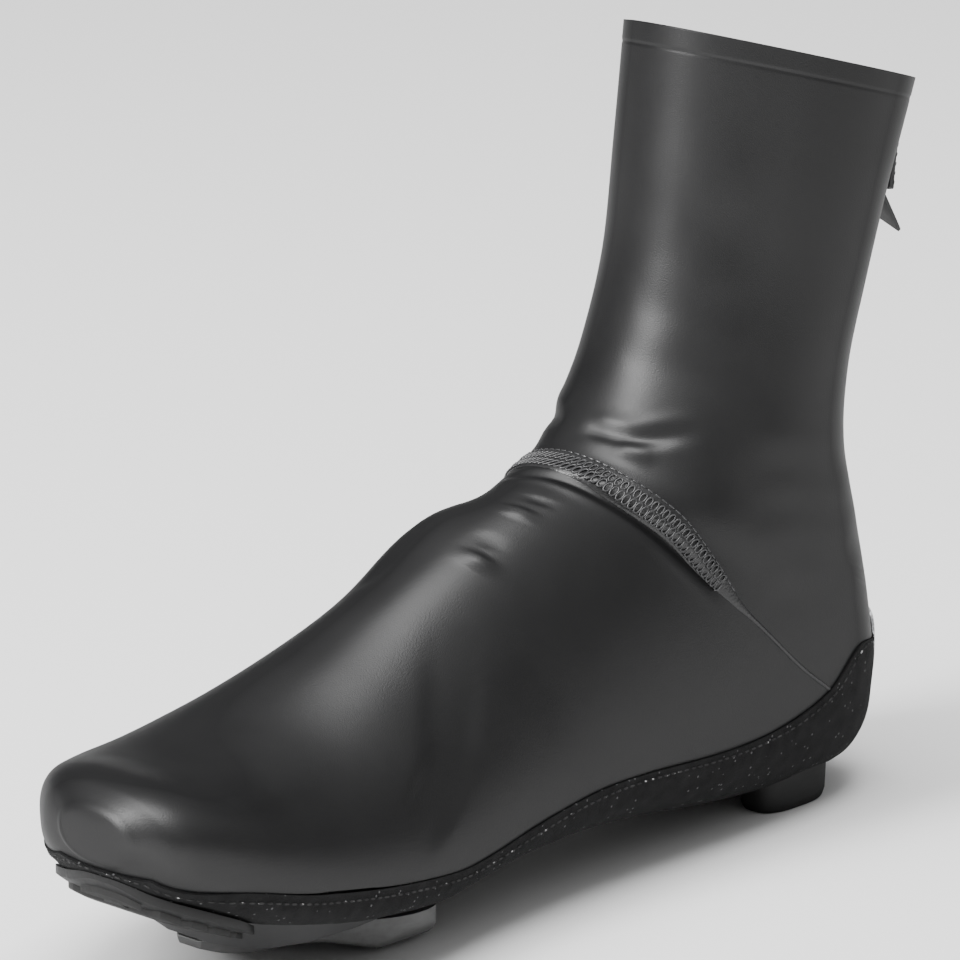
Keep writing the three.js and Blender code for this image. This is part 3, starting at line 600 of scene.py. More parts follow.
def coatedFabric(name, low, high, rough, cells, bump, gloss=0.5):
    material, tree, surface, place = startMaterial(name, rough[0])
    tameGloss(tree, surface, gloss, 0.1, 0.1, 0.62)
    grain = addNode(tree, "ShaderNodeGroup", {"node_tree": knitGrain}, Vector=place, Cells_per_Metre=cells).outputs
    feed(tree, surface["Base Color"], colourBetween(tree, grain["Mottle"], low, high, 0.3, 0.7))
    feed(tree, surface["Roughness"], rangeBetween(tree, grain["Mottle"], rough))
    addBump(tree, surface, grain["Height"], bump)
    return material


def nappedFabric(name, base, light, speck, share, bump, sheen=0.0):
    material, tree, surface, place = startMaterial(name, 0.95)
    nap = addNode(tree, "ShaderNodeGroup", {"node_tree": fabricNap}, Vector=place, Speck_Share=share).outputs
    ground = colourBetween(tree, nap["Mottle"], base, light, 0.3, 0.75)
    mix = addNode(tree, "ShaderNodeMix", {"data_type": "RGBA"}, Factor=nap["Specks"], A=ground, B=(*speck, 1))
    feed(tree, surface["Base Color"], mix.outputs["Result"])
    surface["Sheen Weight"].default_value = sheen
    surface["Specular IOR Level"].default_value = 0.2
    addBump(tree, surface, nap["Height"], bump)
    return material


def moulded(name, base, worn, rough, amount=0.6, bump=0.05 * mm, metallic=0.0, gloss=0.5):
    material, tree, surface, place = startMaterial(name, rough[0], metallic)
    tameGloss(tree, surface, gloss, 0.3, 0.2, 0.75)
    marks = addNode(tree, "ShaderNodeGroup", {"node_tree": scuff}, Vector=place, Amount=amount).outputs
    feed(tree, surface["Base Color"], colourBetween(tree, marks["Mask"], base, worn, 0.08, 0.4))
    feed(tree, surface["Roughness"], rangeBetween(tree, marks["Mask"], rough, 0.05, 0.3))
    addBump(tree, surface, marks["Height"], bump)
    return material


def reflectiveFilm(name):
    material, tree, surface, place = startMaterial(name, 0.4, 0.35)
    beads = addNode(tree, "ShaderNodeTexVoronoi", Scale=1500.0, Vector=place).outputs["Distance"]
    feed(tree, surface["Base Color"], colourBetween(tree, beads, (0.62, 0.63, 0.64), (0.3, 0.3, 0.31), 0.1, 0.8))
    feed(tree, surface["Roughness"], rangeBetween(tree, beads, (0.3, 0.6), 0.0, 0.8))
    addBump(tree, surface, beads, 0.1 * mm)
    return material


# A grey, with a little more or less blue
def grey(level, blue=0.0):
    return (level, level, level + blue)


coverCoat = coatedFabric(
    "Coated stretch cover", grey(0.006, 0.0003), grey(0.0075, 0.0003), (0.4, 0.44), 3000.0, 0.03 * mm, 0.42)
seamCoat = coatedFabric("Bonded seam", grey(0.013, 0.0005), grey(0.017, 0.0005), (0.28, 0.36), 1600.0, 0.08 * mm)
flapCloth = coatedFabric("Zip garage cloth", grey(0.014, 0.001), grey(0.019, 0.001), (0.5, 0.6), 1500.0, 0.1 * mm)
threadCoat = moulded("Glossy seam thread", grey(0.03, 0.001), grey(0.05, 0.002), (0.2, 0.3), bump=0.03 * mm)
bandNap = nappedFabric(
    "Rough band fabric", grey(0.005, 0.0003), grey(0.011, 0.0003), grey(0.09, 0.002), 0.09, 0.45 * mm)
bandThread = nappedFabric("Band thread", grey(0.012), grey(0.045), grey(0.3), 0.3, 0.1 * mm)
lining = nappedFabric("Brushed lining", grey(0.03, 0.002), grey(0.045, 0.002), grey(0.12), 0.05, 0.25 * mm, 0.3)
insoleCloth = nappedFabric("Insole cloth", grey(0.035, 0.001), grey(0.05, 0.001), grey(0.1), 0.05, 0.2 * mm)
tapeWeave = nappedFabric("Zip tape weave", grey(0.008), grey(0.014), grey(0.05), 0.05, 0.15 * mm)
treadRubber = moulded("Tread rubber", grey(0.008), grey(0.02, -0.0005), (0.5, 0.75), bump=0.08 * mm, gloss=0.3)
toeRubber = moulded(
    "Toe plate rubber", grey(0.007, 0.0002), grey(0.014), (0.45, 0.6), bump=0.04 * mm, gloss=0.25)
soleComposite = moulded("Sole composite", grey(0.01, 0.001), grey(0.02, 0.001), (0.3, 0.5))
cleatPlastic = moulded("Cleat plastic", (0.15, 0.152, 0.152), grey(0.115, -0.002), (0.45, 0.62), 0.8, 0.08 * mm)
padPlastic = moulded("Cleat nose pad", grey(0.06), grey(0.1), (0.5, 0.7))
boltSteel = moulded("Bolt steel", (0.5, 0.505, 0.51), grey(0.35), (0.28, 0.45), metallic=1.0)
teethPlastic = moulded("Zip teeth", grey(0.01, 0.0005), grey(0.02), (0.28, 0.4))
sliderPaint = moulded("Slider paint", grey(0.012, 0.0005), grey(0.06), (0.3, 0.45), metallic=0.6)
pullPlastic = moulded("Pull tab plastic", grey(0.013, 0.0005), grey(0.03), (0.45, 0.6))
heelFilm = reflectiveFilm("Reflective heel film")
print("materials ready")


# Cover: one sheet from the collar to the toe, with the zip slot behind
cover = {
    "columns": 129,
    "rowsPerSection": [44, 11, 11, 16, 22, 24, 24, 24, 20, 17, 15, 13, 13, 13, 13, 14, 14, 16],
    "hemRows": 30,
    "hemEnd": 0.4,
    "hemAt": 0.26,
    "hemGroove": 0.16 * mm,
    "hemRise": 0.06 * mm,
    "bandFrom": 5.9,
    "edgeGap": 0.3 * mm,
    "edgeSoft": 0.4 * mm,
    "noseRings": 7,
}
uvScale = 10


def coverRows():
    fine, end = cover["hemRows"], cover["hemEnd"]
    rows = [np.linspace(0, end, fine, endpoint=False)]
    for k, count in enumerate(cover["rowsPerSection"]):
        first, steps = (end, count - fine) if k == 0 else (k, count)
        rows.append(np.linspace(first, k + 1, steps, endpoint=False))
    return np.concatenate(rows + [[lastRow]])


def hemLift(t):
    groove = -cover["hemGroove"] * np.exp(-(((t - cover["hemAt"]) / 0.014) ** 2))
    double = cover["hemRise"] / (1 + np.exp((t - cover["hemAt"]) / 0.008))
    return groove + double


# Rings that run in from the last row to the toe's tip in a round nose
def closeToe(rowPoints):
    tip = heelSeat + np.array([
        toeTip["centre"] * shoe["ballWidth"],
        -toeTip["along"] * shoe["length"],
        float(heightAt(np.array(toeTip["along"]), np.array(toeTip["up"]))),
    ])
    made = []
    for k in range(1, cover["noseRings"] + 1):
        inward = k / cover["noseRings"]
        ahead = math.sqrt(1 - (1 - inward) ** 2)
        ring = rowPoints + (tip - rowPoints) * inward
        ring[:, 1] = rowPoints[:, 1] + (tip[1] - rowPoints[:, 1]) * ahead
        made.append(ring)
    return made


def makeCover():
    shares = np.linspace(0, 1, (cover["columns"] + 1) // 2)
    points, uv, long, before = [], [], 0.0, None
    for t in coverRows():
        high = slotLimit(t) if t < cover["bandFrom"] else bandLimit(t)
        if t >= cover["bandFrom"] and high < np.pi:
            high -= cover["edgeGap"] / (0.5 * shoe["ballWidth"])
        angles, run = ringAngles(t, 0, high, shares)
        full = np.concatenate([-angles[:0:-1], angles])
        base = coverPoint(t, full)
        lift = creaseLift(base) + hemLift(t)
        ring = base + formNormal(t, full) * lift[:, None]
        middle = ring[len(angles) - 1]
        long += 0 if before is None else float(np.linalg.norm(middle - before))
        before = middle
        points.append(ring)
        uv.append(np.stack([np.concatenate([-run[:0:-1], run]), np.full(len(full), long)], 1))
    for ring in closeToe(points[-1]):
        points.append(ring)
        uv.append(uv[-1] + np.array([0, 0.5 * mm]))
    points, uv = np.array(points), np.array(uv)
    piece = meshObject("cover", points, gridFaces(len(points), cover["columns"]), uv * uvScale, weld=0.01 * mm)
    paint(piece, [coverCoat, lining])
    thicken(piece, shoe["wall"], innerSlot=1)
    softenEdges(piece, cover["edgeSoft"])
    bakeModifiers(piece)
    finishPiece(piece, [coverCoat, lining], ["upper"])


makeCover()
print("cover made")


# Underfoot band: what the cover leaves open below, with its holes for the cleat, the toe plate and the lugs
band = {
    "columns": 111,
    "rows": 230,
    "evenShare": 0.55,
    "uvPerRow": 20 * mm,
    "edgeSoft": 0.45 * mm,
    "stitchInset": 2.3 * mm,
    "stitchSpacing": 2.7 * mm,
    "stitchSize": (1.9 * mm, 0.6 * mm, 0.5 * mm),
    "holeFoot": -0.01,
    "holeTop": 0.08,
    "lugHoleTop": 0.02,
}
metRows = [t for t in np.linspace(5.7, lastRow, 1200) if bandLimit(t) < np.pi - 1e-6]
bandFirst, bandLast = metRows[0], metRows[-1]


def makeBand():
    shares = np.linspace(0, 1, band["columns"])
    u = np.linspace(0, 1, band["rows"])
    eased = 0.5 - 0.5 * np.cos(np.pi * u)
    points, uv = [], []
    for t in bandFirst + (bandLast - bandFirst) * (band["evenShare"] * u + (1 - band["evenShare"]) * eased):
        low = bandLimit(t)
        angles, run = ringAngles(t, low, 2 * np.pi - low, shares)
        base = coverPoint(t, angles)
        x, y, z = [(base[:, k] - heelSeat[k]) / mm for k in range(3)]
        rough = 0.07 * mm * np.sin(x / 1.9 + y / 2.7) * np.sin(y / 2.1 - z / 1.7)
        lift = shoe["bandRise"] + rough + 0.06 * mm * np.sin(y / 4.3 + z / 3.1)
        points.append(base + formNormal(t, angles) * lift[:, None])
        uv.append(np.stack([run, np.full(len(run), t * band["uvPerRow"])], 1))
    points, uv = np.array(points), np.array(uv)
    faces = gridFaces(len(points), band["columns"])
    piece = meshObject("underfootBand", points, faces, uv * uvScale, weld=0.02 * mm)
    paint(piece, [bandNap, lining])
    thicken(piece, shoe["wall"] + shoe["bandRise"] - 0.1 * mm, innerSlot=1)
    softenEdges(piece, band["edgeSoft"])
    bakeModifiers(piece)
    return piece


# Plan outline of a block with rounded corners
outlineShape = {"steps": 72, "power": 0.7}


def superOutline(centre, halfLength, halfWidth):
    angle = np.linspace(0, 2 * np.pi, outlineShape["steps"], endpoint=False)
    x = centre[0] + halfWidth * signedPower(np.cos(angle), outlineShape["power"])
    y = centre[1] + halfLength * signedPower(np.sin(angle), outlineShape["power"])
    return np.stack([x, y], 1)


def atHeight(outline, height):
    return np.column_stack([outline, np.full(len(outline), height)])


def ringStack(name, rings):
    count = len(rings[0])
    faces = [list(range(count))[::-1], list(range((len(rings) - 1) * count, len(rings) * count))]
    faces += [list(f) for f in gridFaces(len(rings), count, closed=True)[:, ::-1]]
    return meshObject(name, np.concatenate(rings), faces)


def cutWith(piece, cutters):
    for cutter in cutters:
        cut = piece.modifiers.new("opening", "BOOLEAN")
        cut.operation = "DIFFERENCE"
        cut.solver = "EXACT"
        cut.object = cutter
    bakeModifiers(piece)
    for cutter in cutters:
        bpy.data.objects.remove(cutter)


cleat = {"length": 64 * mm, "halfWidth": 28.5 * mm, "height": 10.5 * mm, "along": 0.582, "gap": 0.3 * mm}
cleatMiddle = cleat["along"] + cleat["length"] / 2 / shoe["length"]
cleatCentre = np.array([
    heelSeat[0] + float(undersideAt(cleatMiddle)[1]),
    heelSeat[1] - cleatMiddle * shoe["length"],
])
toePlate = {
    "start": cleat["along"] + cleat["length"] / shoe["length"] + 0.012,
    "end": 0.985,
    "coreStart": 0.02,
    "coreEnd": 0.05,
    "coreShare": 0.5,
    "coreSteps": 40,
    "follow": 0.75,
    "followMost": 8 * mm,
    "flange": 1.6 * mm,
    "flangeRoom": 2.2 * mm,
    "grooves": 6,
    "halfGroove": 1.3 * mm / shoe["length"],
}


def lugCentre(side):
    x = heelSeat[0] + float(undersideAt(lug["along"])[1]) + side * lug["spacing"] / 2
    return np.array([x, heelSeat[1] - lug["along"] * shoe["length"]])


def toeCoreOutline(grow):
    start, end = toePlate["start"] + toePlate["coreStart"], toePlate["end"] - toePlate["coreEnd"]
    inner, outer = [], []
    for i in range(toePlate["coreSteps"] + 1):
        u = (1 - math.cos(math.pi * i / toePlate["coreSteps"])) / 2
        along = start + (end - start) * u
        roundEnd = (1 - abs(2 * u - 1) ** 3) ** (1 / 3)
        _, centre, half = [float(v) for v in undersideAt(along)]
        reach = half * toePlate["coreShare"] * roundEnd + grow * min(1, 2 * roundEnd)
        y = heelSeat[1] - along * shoe["length"] - grow * (2 * u - 1)
        inner.append((heelSeat[0] + centre + reach, y))
        outer.insert(0, (heelSeat[0] + centre - reach, y))
    return np.array(inner + outer[1:-1])


def bandOpenings():
    gap = cleat["gap"]
    boss = superOutline(cleatCentre, cleat["length"] * 0.5 + gap, cleat["halfWidth"] * 0.9 + gap)
    spaces = [("bossSpace", boss, band["holeTop"]), ("toeCoreSpace", toeCoreOutline(gap), band["holeTop"])]
    for side in (-1, 1):
        halves = [lug[key] / 2 * lug["foot"] + gap for key in ("length", "width")]
        spaces.append(("lugSpace", superOutline(lugCentre(side), *halves), band["lugHoleTop"]))
    return [ringStack(name, [atHeight(outline, band["holeFoot"]), atHeight(outline, top)])
            for name, outline, top in spaces]


underfootBand = makeBand()
cutWith(underfootBand, bandOpenings())
finishPiece(underfootBand, [bandNap, lining], ["underfoot_band"])
print("band made")


# Stitches and zip teeth are repeated by Geometry Nodes over points that carry the way up and the way along
def buildRepeatTree(treeName, shape):
    tree = bpy.data.node_groups.new(treeName, "GeometryNodeTree")
    face = tree.interface
    face.new_socket(name="Geometry", in_out="INPUT", socket_type="NodeSocketGeometry")
    for key in ("Length", "Width", "Thickness"):
        face.new_socket(name=key, in_out="INPUT", socket_type="NodeSocketFloat").default_value = 1 * mm
    face.new_socket(name="Material", in_out="INPUT", socket_type="NodeSocketMaterial")
    face.new_socket(name="Geometry", in_out="OUTPUT", socket_type="NodeSocketGeometry")
    given = tree.nodes.new("NodeGroupInput").outputs
    stretch = addNode(tree, "ShaderNodeCombineXYZ", X=given["Length"], Y=given["Width"])
    if shape == "loop":
        feed(tree, stretch.inputs["Z"], 1.0)
        circle = addNode(tree, "GeometryNodeCurvePrimitiveCircle", Resolution=14, Radius=0.5)
        ring = addNode(tree, "GeometryNodeTransform", Geometry=circle.outputs["Curve"],
                       Scale=stretch.outputs["Vector"])
        strand = addNode(tree, "GeometryNodeCurvePrimitiveCircle", Resolution=6,
                         Radius=mathNode(tree, "MULTIPLY", given["Thickness"], 0.5))
        sweep = addNode(tree, "GeometryNodeCurveToMesh", Curve=ring.outputs["Geometry"],
                        Profile_Curve=strand.outputs["Curve"])
        single = sweep.outputs["Mesh"]
    else:
        feed(tree, stretch.inputs["Z"], given["Thickness"])
        bead = addNode(tree, "GeometryNodeMeshUVSphere", Segments=8, Rings=6, Radius=0.5)
        shaped = addNode(tree, "GeometryNodeTransform", Geometry=bead.outputs["Mesh"],
                         Scale=stretch.outputs["Vector"])
        single = shaped.outputs["Geometry"]
    turn = addNode(tree, "FunctionNodeAxesToRotation", {"primary_axis": "Z", "secondary_axis": "X"})
    for attribute, key in (("stitchUp", "Primary Axis"), ("stitchAlong", "Secondary Axis")):
        read = addNode(tree, "GeometryNodeInputNamedAttribute", {"data_type": "FLOAT_VECTOR"}, Name=attribute)
        feed(tree, turn.inputs[key], read.outputs["Attribute"])
    spread = addNode(tree, "GeometryNodeInstanceOnPoints", Points=given["Geometry"], Instance=single,
                     Rotation=turn.outputs["Rotation"])
    real = addNode(tree, "GeometryNodeRealizeInstances", Geometry=spread.outputs["Instances"])
    smooth = addNode(tree, "GeometryNodeSetShadeSmooth", Geometry=real.outputs["Geometry"])
    coloured = addNode(tree, "GeometryNodeSetMaterial", Geometry=smooth.outputs["Geometry"],
                       Material=given["Material"])
    feed(tree, tree.nodes.new("NodeGroupOutput").inputs["Geometry"], coloured.outputs["Geometry"])
    return tree


loopTree = buildRepeatTree("Loop stitches", "loop")
beadTree = buildRepeatTree("Straight stitches", "bead")


def repeatPiece(name, places, ups, alongs, tree, size, material, slot):
    mesh = bpy.data.meshes.new(name)
    mesh.from_pydata([tuple(p) for p in places], [], [])
    for attribute, values in (("stitchUp", ups), ("stitchAlong", alongs)):
        layer = mesh.attributes.new(attribute, "FLOAT_VECTOR", "POINT")
        layer.data.foreach_set("vector", np.asarray(values, float).ravel())
    piece = linkObject(name, mesh)
    repeat = piece.modifiers.new("repeat", "NODES")
    repeat.node_group = tree
    values = {"Length": size[0], "Width": size[1], "Thickness": size[2], "Material": material}
    for item in tree.interface.items_tree:
        if item.in_out == "INPUT" and item.name in values:
            repeat[item.identifier] = values[item.name]
    bakeModifiers(piece)
    return finishPiece(piece, [material])


# Places, ways up and ways along for stitches at even spacing on a path; turn leans them across it
def stitchesOn(path, normals, spacing, start=0.0, turn=0.0):
    run = runAlong(path)
    stations = np.arange(start, run[-1], spacing)

    def along(values):
        return np.stack([np.interp(stations, run, values[:, k]) for k in range(3)], 1)

    def unit(values):
        return values / np.maximum(1e-12, np.linalg.norm(values, axis=1, keepdims=True))

    ahead, up = unit(along(np.gradient(path, axis=0))), unit(along(normals))
    return along(path), up, ahead * math.cos(turn) + np.cross(up, ahead) * math.sin(turn)


# Instep seam: a bonded tape with a cover stitch, which narrows to a fine raised seam down each side
seam = {
    "columns": 21,
    "widthShare": 0.88,
    "rise": 0.45 * mm,
    "tuck": 0.5 * mm,
    "thickness": 0.9 * mm,
    "overBand": 0.5 * mm,
    "widest": 2.75,
    "rows": (3.2, 8.6, 260),
    "threads": [
        # name, place across the tape, least half width, lift, spacing, start, lean in degrees, tree, size in mm
        ("seamLoopsLower", -0.46, 2.7, 0.12, 1.9, 0.0, 78, loopTree, (3.4, 1.6, 0.55)),
        ("seamLoopsUpper", 0.24, 2.7, 0.1, 1.9, 0.95, 78, loopTree, (2.9, 1.45, 0.5)),
        ("seamThread", 0.84, 1.6, 0.05, 2.3, 0.0, 0, beadTree, (2.0, 0.55, 0.4)),
        ("seamEdgeThread", -0.96, 0.0, 0.0, 2.6, 0.0, 0, beadTree, (1.7, 0.45, 0.35)),
    ],
}
denseSeam = np.linspace(0, len(seamTable) - 1, 500)
seamSpots = np.stack([
    -blendTable(seamTable, 0, denseSeam) * shoe["length"],
    shoe["soleLift"] + blendTable(seamTable, 1, denseSeam) * shoe["instepHeight"],
], 1)
seamHalf = seam["widthShare"] * blendTable(seamTable, 2, denseSeam) * shoe["ballWidth"]
seamHalf = seamHalf - 0.45 * mm * np.clip((3 * mm - seamHalf) / (1.8 * mm), 0, 1)
seamRun = np.gradient(seamSpots, axis=0)
seamRun /= np.linalg.norm(seamRun, axis=1, keepdims=True)


# Distance over the seam's middle in the side view, and the tape's half width there
def seamReach(point):
    spot = np.stack([point[..., 1] - heelSeat[1], point[..., 2]], -1)
    k = np.linalg.norm(spot[..., None, :] - seamSpots, axis=-1).argmin(-1)
    off = spot - seamSpots[k]
    return off[..., 1] * seamRun[k][..., 0] - off[..., 0] * seamRun[k][..., 1], seamHalf[k]


# Rows t where the ring lines at an angle cross given shares of the tape's width
def seamRows(angle, levels):
    t = np.linspace(*seam["rows"])
    over, half = seamReach(coverPoint(t, np.full_like(t, angle)))
    share = over / half
    found = []
    for level in levels:
        sign = np.nonzero(np.diff(np.sign(share - level)))[0]
        if len(sign) == 0:
            return None
        a, b = share[sign[0]] - level, share[sign[0] + 1] - level
        found.append(t[sign[0]] + a / (a - b) * (t[1] - t[0]))
    return np.array(found)


# Rise of the tape across its width: flat with rolled edges where it is wide, a ridge where it is fine
def seamProfile(w, half):
    wide = seam["rise"] * (0.9 + 0.1 * np.cos(np.pi * w)) * (1 - np.abs(w) ** 10)
    fine = seam["rise"] * 0.7 * (1 - w**2)
    share = np.clip((half - 1.6 * mm) / (1.6 * mm), 0, 1)
    return wide * share + fine * (1 - share)


def makeSeam():
    levels = np.linspace(-1, 1, seam["columns"])
    middle = len(levels) // 2
    points, normals, halves = [], [], []
    for angle in np.linspace(-seam["widest"], seam["widest"], 620):
        found = seamRows(angle, levels)
        if found is None or overBand(coverPoint(found[middle], angle)[None])[0] < seam["overBand"]:
            continue
        base = coverPoint(found, np.full(len(found), angle))
        normal = formNormal(found, np.full(len(found), angle))
        half = seamReach(base[middle][None])[1][0]
        lift = creaseLift(base) + seamProfile(levels, half)
        lift[[0, -1]] -= seam["tuck"]
        points.append(base + normal * lift[:, None])
        normals.append(normal)
        halves.append(half)
    points, normals, halves = np.array(points), np.array(normals), np.array(halves)
    piece = meshObject("instepSeam", points, gridFaces(len(points), seam["columns"]))
    paint(piece, [seamCoat])
    thicken(piece, seam["thickness"])
    bakeModifiers(piece)
    finishPiece(piece, [seamCoat], ["instep_seam"])
    for name, place, least, lift, spacing, start, lean, tree, size in seam["threads"]:
        keep = halves > least * mm
        spots, ups = [np.array([[np.interp(place, levels, row[:, k]) for k in range(3)] for row in rows[keep]])
                      for rows in (points, normals)]
        stitches = stitchesOn(spots + ups * lift * mm, ups, spacing * mm, start * mm, math.radians(lean))
        repeatPiece(name, *stitches, tree, [value * mm for value in size], threadCoat, "seam_bond")


makeSeam()
print("seam made")


# Short stitches just below the band's edge, on both sides and round the heel
def makeBandStitches():
    for side, name in ((1, "bandStitchesInner"), (-1, "bandStitchesOuter")):
        spots, normals = [], []
        for t in np.linspace(bandFirst + 0.02, bandLast - 0.05, 700):
            low = bandLimit(t)
            dense = np.linspace(low, min(np.pi, low + 0.35), 24)
            angle = side * np.interp(band["stitchInset"], runAlong(coverPoint(t, dense)), dense)
            spots.append(coverPoint(t, angle, shoe["bandRise"] + 0.1 * mm))
            normals.append(formNormal(t, angle))
        stitches = stitchesOn(np.array(spots), np.array(normals), band["stitchSpacing"])
        repeatPiece(name, *stitches, beadTree, band["stitchSize"], bandThread, "band_fabric")


makeBandStitches()
print("band stitches made")


# Sheets on the back: u runs down, w runs across
def backAngle(t, x):
    half = blendTable(sectionTable, 5, t) * shoe["ballWidth"]
    power = blendTable(sectionTable, 9, t) / 2
    return np.pi - np.arcsin(np.clip(signedPower(np.clip(x / half, -1, 1), power), -1, 1))


def backPoint(t, x, offset):
    return coverPoint(t, backAngle(t, x), offset)


# The sheet runs from one side to the other as seen from behind, so its faces turn round
def backSheet(name, sheet, halfAt, outerAt, material, node):
    rows, columns = sheet["grid"]
    u = np.linspace(0, 1, rows)[:, None]
    w = np.linspace(-1, 1, columns)[None, :]
    t = sheet["top"] + (sheet["bottom"] - sheet["top"]) * u + 0 * w
    x = w * halfAt(u)
    points = backPoint(t, x, outerAt(u, w) + 0 * x)
    uv = np.stack([x, t * band["uvPerRow"]], -1) * uvScale
    piece = meshObject(name, points, gridFaces(rows, columns)[:, ::-1], uv)
    thicken(piece, sheet["thickness"])
    paint(piece, [material])
    softenEdges(piece, sheet["edgeSoft"])
    bakeModifiers(piece)
    return finishPiece(piece, [material], [node])


tape = {
    "grid": (120, 17),
    "top": zipSlot["top"],
    "bottom": zipSlot["bottom"],
    "half": 7 * mm,
    "foot": -1.45 * mm,
    "thickness": 1 * mm,
    "edgeSoft": 0.2 * mm,
    "ribFrom": 0.55,
    "ribRise": 0.12 * mm,
    "pitch": 1.45 * mm,
    "chainFrom": 1.0,
    "chainHalf": 2.6 * mm,
    "chainRise": 1.4 * mm,
    "toothSize": (3.2 * mm, 1.15 * mm, 1.5 * mm),
    "stitchSpacing": 1.6 * mm,
    "stitchSize": (1.5 * mm, 0.5 * mm, 0.4 * mm),
}
tapeTop = tape["foot"] + tape["thickness"]


def makeZip():
    backSheet(
        "zipTape", tape, lambda u: np.minimum(tape["half"], 40 * mm * np.sqrt(1.0001 - u)),
        lambda u, w: tapeTop + tape["ribRise"] * (np.abs(w) > tape["ribFrom"]), tapeWeave, "zip_tape")
    rows = np.linspace(tape["chainFrom"], tape["bottom"] - 0.1, 500)
    base = tapeTop + 0.25 * mm
    line = backPoint(rows, np.zeros_like(rows), base + tape["chainRise"] * 0.45)
    ups = formNormal(rows, np.full_like(rows, np.pi))
    across = np.array([1.0, 0.0, 0.0])
    for name, side, start in (("zipTeethInner", 1, 0.0), ("zipTeethOuter", -1, 0.5)):
        places, up, _ = stitchesOn(line, ups, tape["pitch"], start * tape["pitch"])
        places = places + side * across * tape["chainHalf"] * 0.42
        sideways = np.broadcast_to(across, places.shape)
        repeatPiece(name, places, up, sideways, beadTree, tape["toothSize"], teethPlastic, "zip_plastic")
    edges = [backPoint(rows, np.full_like(rows, tape["chainHalf"] * side), base + 0.1 * mm) for side in (-1, 1)]
    both = zip(*[stitchesOn(edge, ups, tape["stitchSpacing"]) for edge in edges])
    stitches = [np.concatenate(pair) for pair in both]
    chain = repeatPiece("zipChainStitches", *stitches, beadTree, tape["stitchSize"], tapeWeave, "zip_plastic")
    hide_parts("zip_chain")


# A merged and softened copy of a solid's own mesh
def copyNode(name, node, material, bevel, angle, body="overshoe"):
    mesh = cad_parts[node].data.copy()
    mesh.transform(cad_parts[node].matrix_world)

    def merge(work):
        bmesh.ops.remove_doubles(work, verts=work.verts, dist=0.01 * mm)
        bmesh.ops.dissolve_limit(work, angle_limit=math.radians(1.0), verts=work.verts, edges=work.edges)

    editMesh(mesh, merge)
    return finishSolid(linkObject(name, mesh), bevel, angle, 40, material, [node], body)


makeZip()
copyNode("zipSlider", "zip_slider", sliderPaint, 0.35 * mm, 30)
copyNode("zipPull", "zip_pull", pullPlastic, 0.25 * mm, 30, body="pull_tab")
print("zip made")


flap = {
    "grid": (50, 41),
    "top": 0.0,
    "bottom": 1.03,
    "half": 12 * mm,
    "thickness": 1.2 * mm,
    "edgeSoft": 0.3 * mm,
    "standoff": 10.2 * mm,
    "narrow": 0.3,
    "stitchAt": 0.86,
    "stitchSpacing": 2.6 * mm,
    "stitchSize": (1.8 * mm, 0.45 * mm, 0.2 * mm),
}


def makeFlap():
    def outer(u, w):
        return 0.3 * mm + flap["standoff"] * u**1.15 * (1 - 0.48 * w**4) + flap["thickness"]

    def halfAt(u):
        return flap["half"] * (1 - flap["narrow"] * u)

    piece = backSheet("zipFlap", flap, halfAt, outer, flapCloth, "zip_flap")
    for side, name in ((-1, "flapStitchesOuter"), (1, "flapStitchesInner")):
        u = np.linspace(0.03, 0.97, 60)
        w = np.full_like(u, side * flap["stitchAt"])
        x, t = w * halfAt(u), flap["bottom"] * u
        path = backPoint(t, x, outer(u, w) - 0.03 * mm)
        stitches = stitchesOn(path, formNormal(t, backAngle(t, x)), flap["stitchSpacing"])
        repeatPiece(name, *stitches, beadTree, flap["stitchSize"], threadCoat, "flap_fabric")


makeFlap()


patch = {
    "grid": (60, 61),
    "top": 6.1,
    "bottom": 7.62,
    "half": 22 * mm,
    "thickness": 0.8 * mm,
    "edgeSoft": 0.25 * mm,
    "lift": 0.3 * mm,
    "corner": 0.22,
    "narrow": 0.2,
}


def makePatch():
    def halfAt(u):
        corner = np.clip((patch["corner"] - u) / patch["corner"], 0, 1)
        rounded = 1 - 0.45 * (1 - np.sqrt(1 - 0.98 * corner**2))
        return patch["half"] * rounded * (1 - patch["narrow"] * u)

    backSheet(
        "heelReflector", patch, halfAt, lambda u, w: shoe["bandRise"] + patch["lift"] + patch["thickness"],
        heelFilm, "heel_reflector")


makePatch()
print("back made")


# Heel lugs: rings from the rounded foot upwards, as a share of the size and of the sole's lift
lugProfile = [
    (0.74, 0.0), (0.8, 0.0), (0.86, 0.02), (0.91, 0.07), (0.945, 0.16), (0.975, 0.32), (1.0, 0.5), (1.02, 1.4),
]


def makeLug(name, node, side):
    heights = [(share, up * shoe["soleLift"]) for share, up in lugProfile]
    heights.append((lug["foot"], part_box(node)[1].z - 0.5 * mm))
    rings = []
    for share, height in heights:
        outline = superOutline(lugCentre(side), lug["length"] / 2 * share, lug["width"] / 2 * share)
        rings.append(atHeight(outline, height))
    finishSolid(ringStack(name, rings), 0, 0, 50, treadRubber, [node])


makeLug("heelLugInner", "heel_lug_inner", 1)
makeLug("heelLugOuter", "heel_lug_outer", -1)


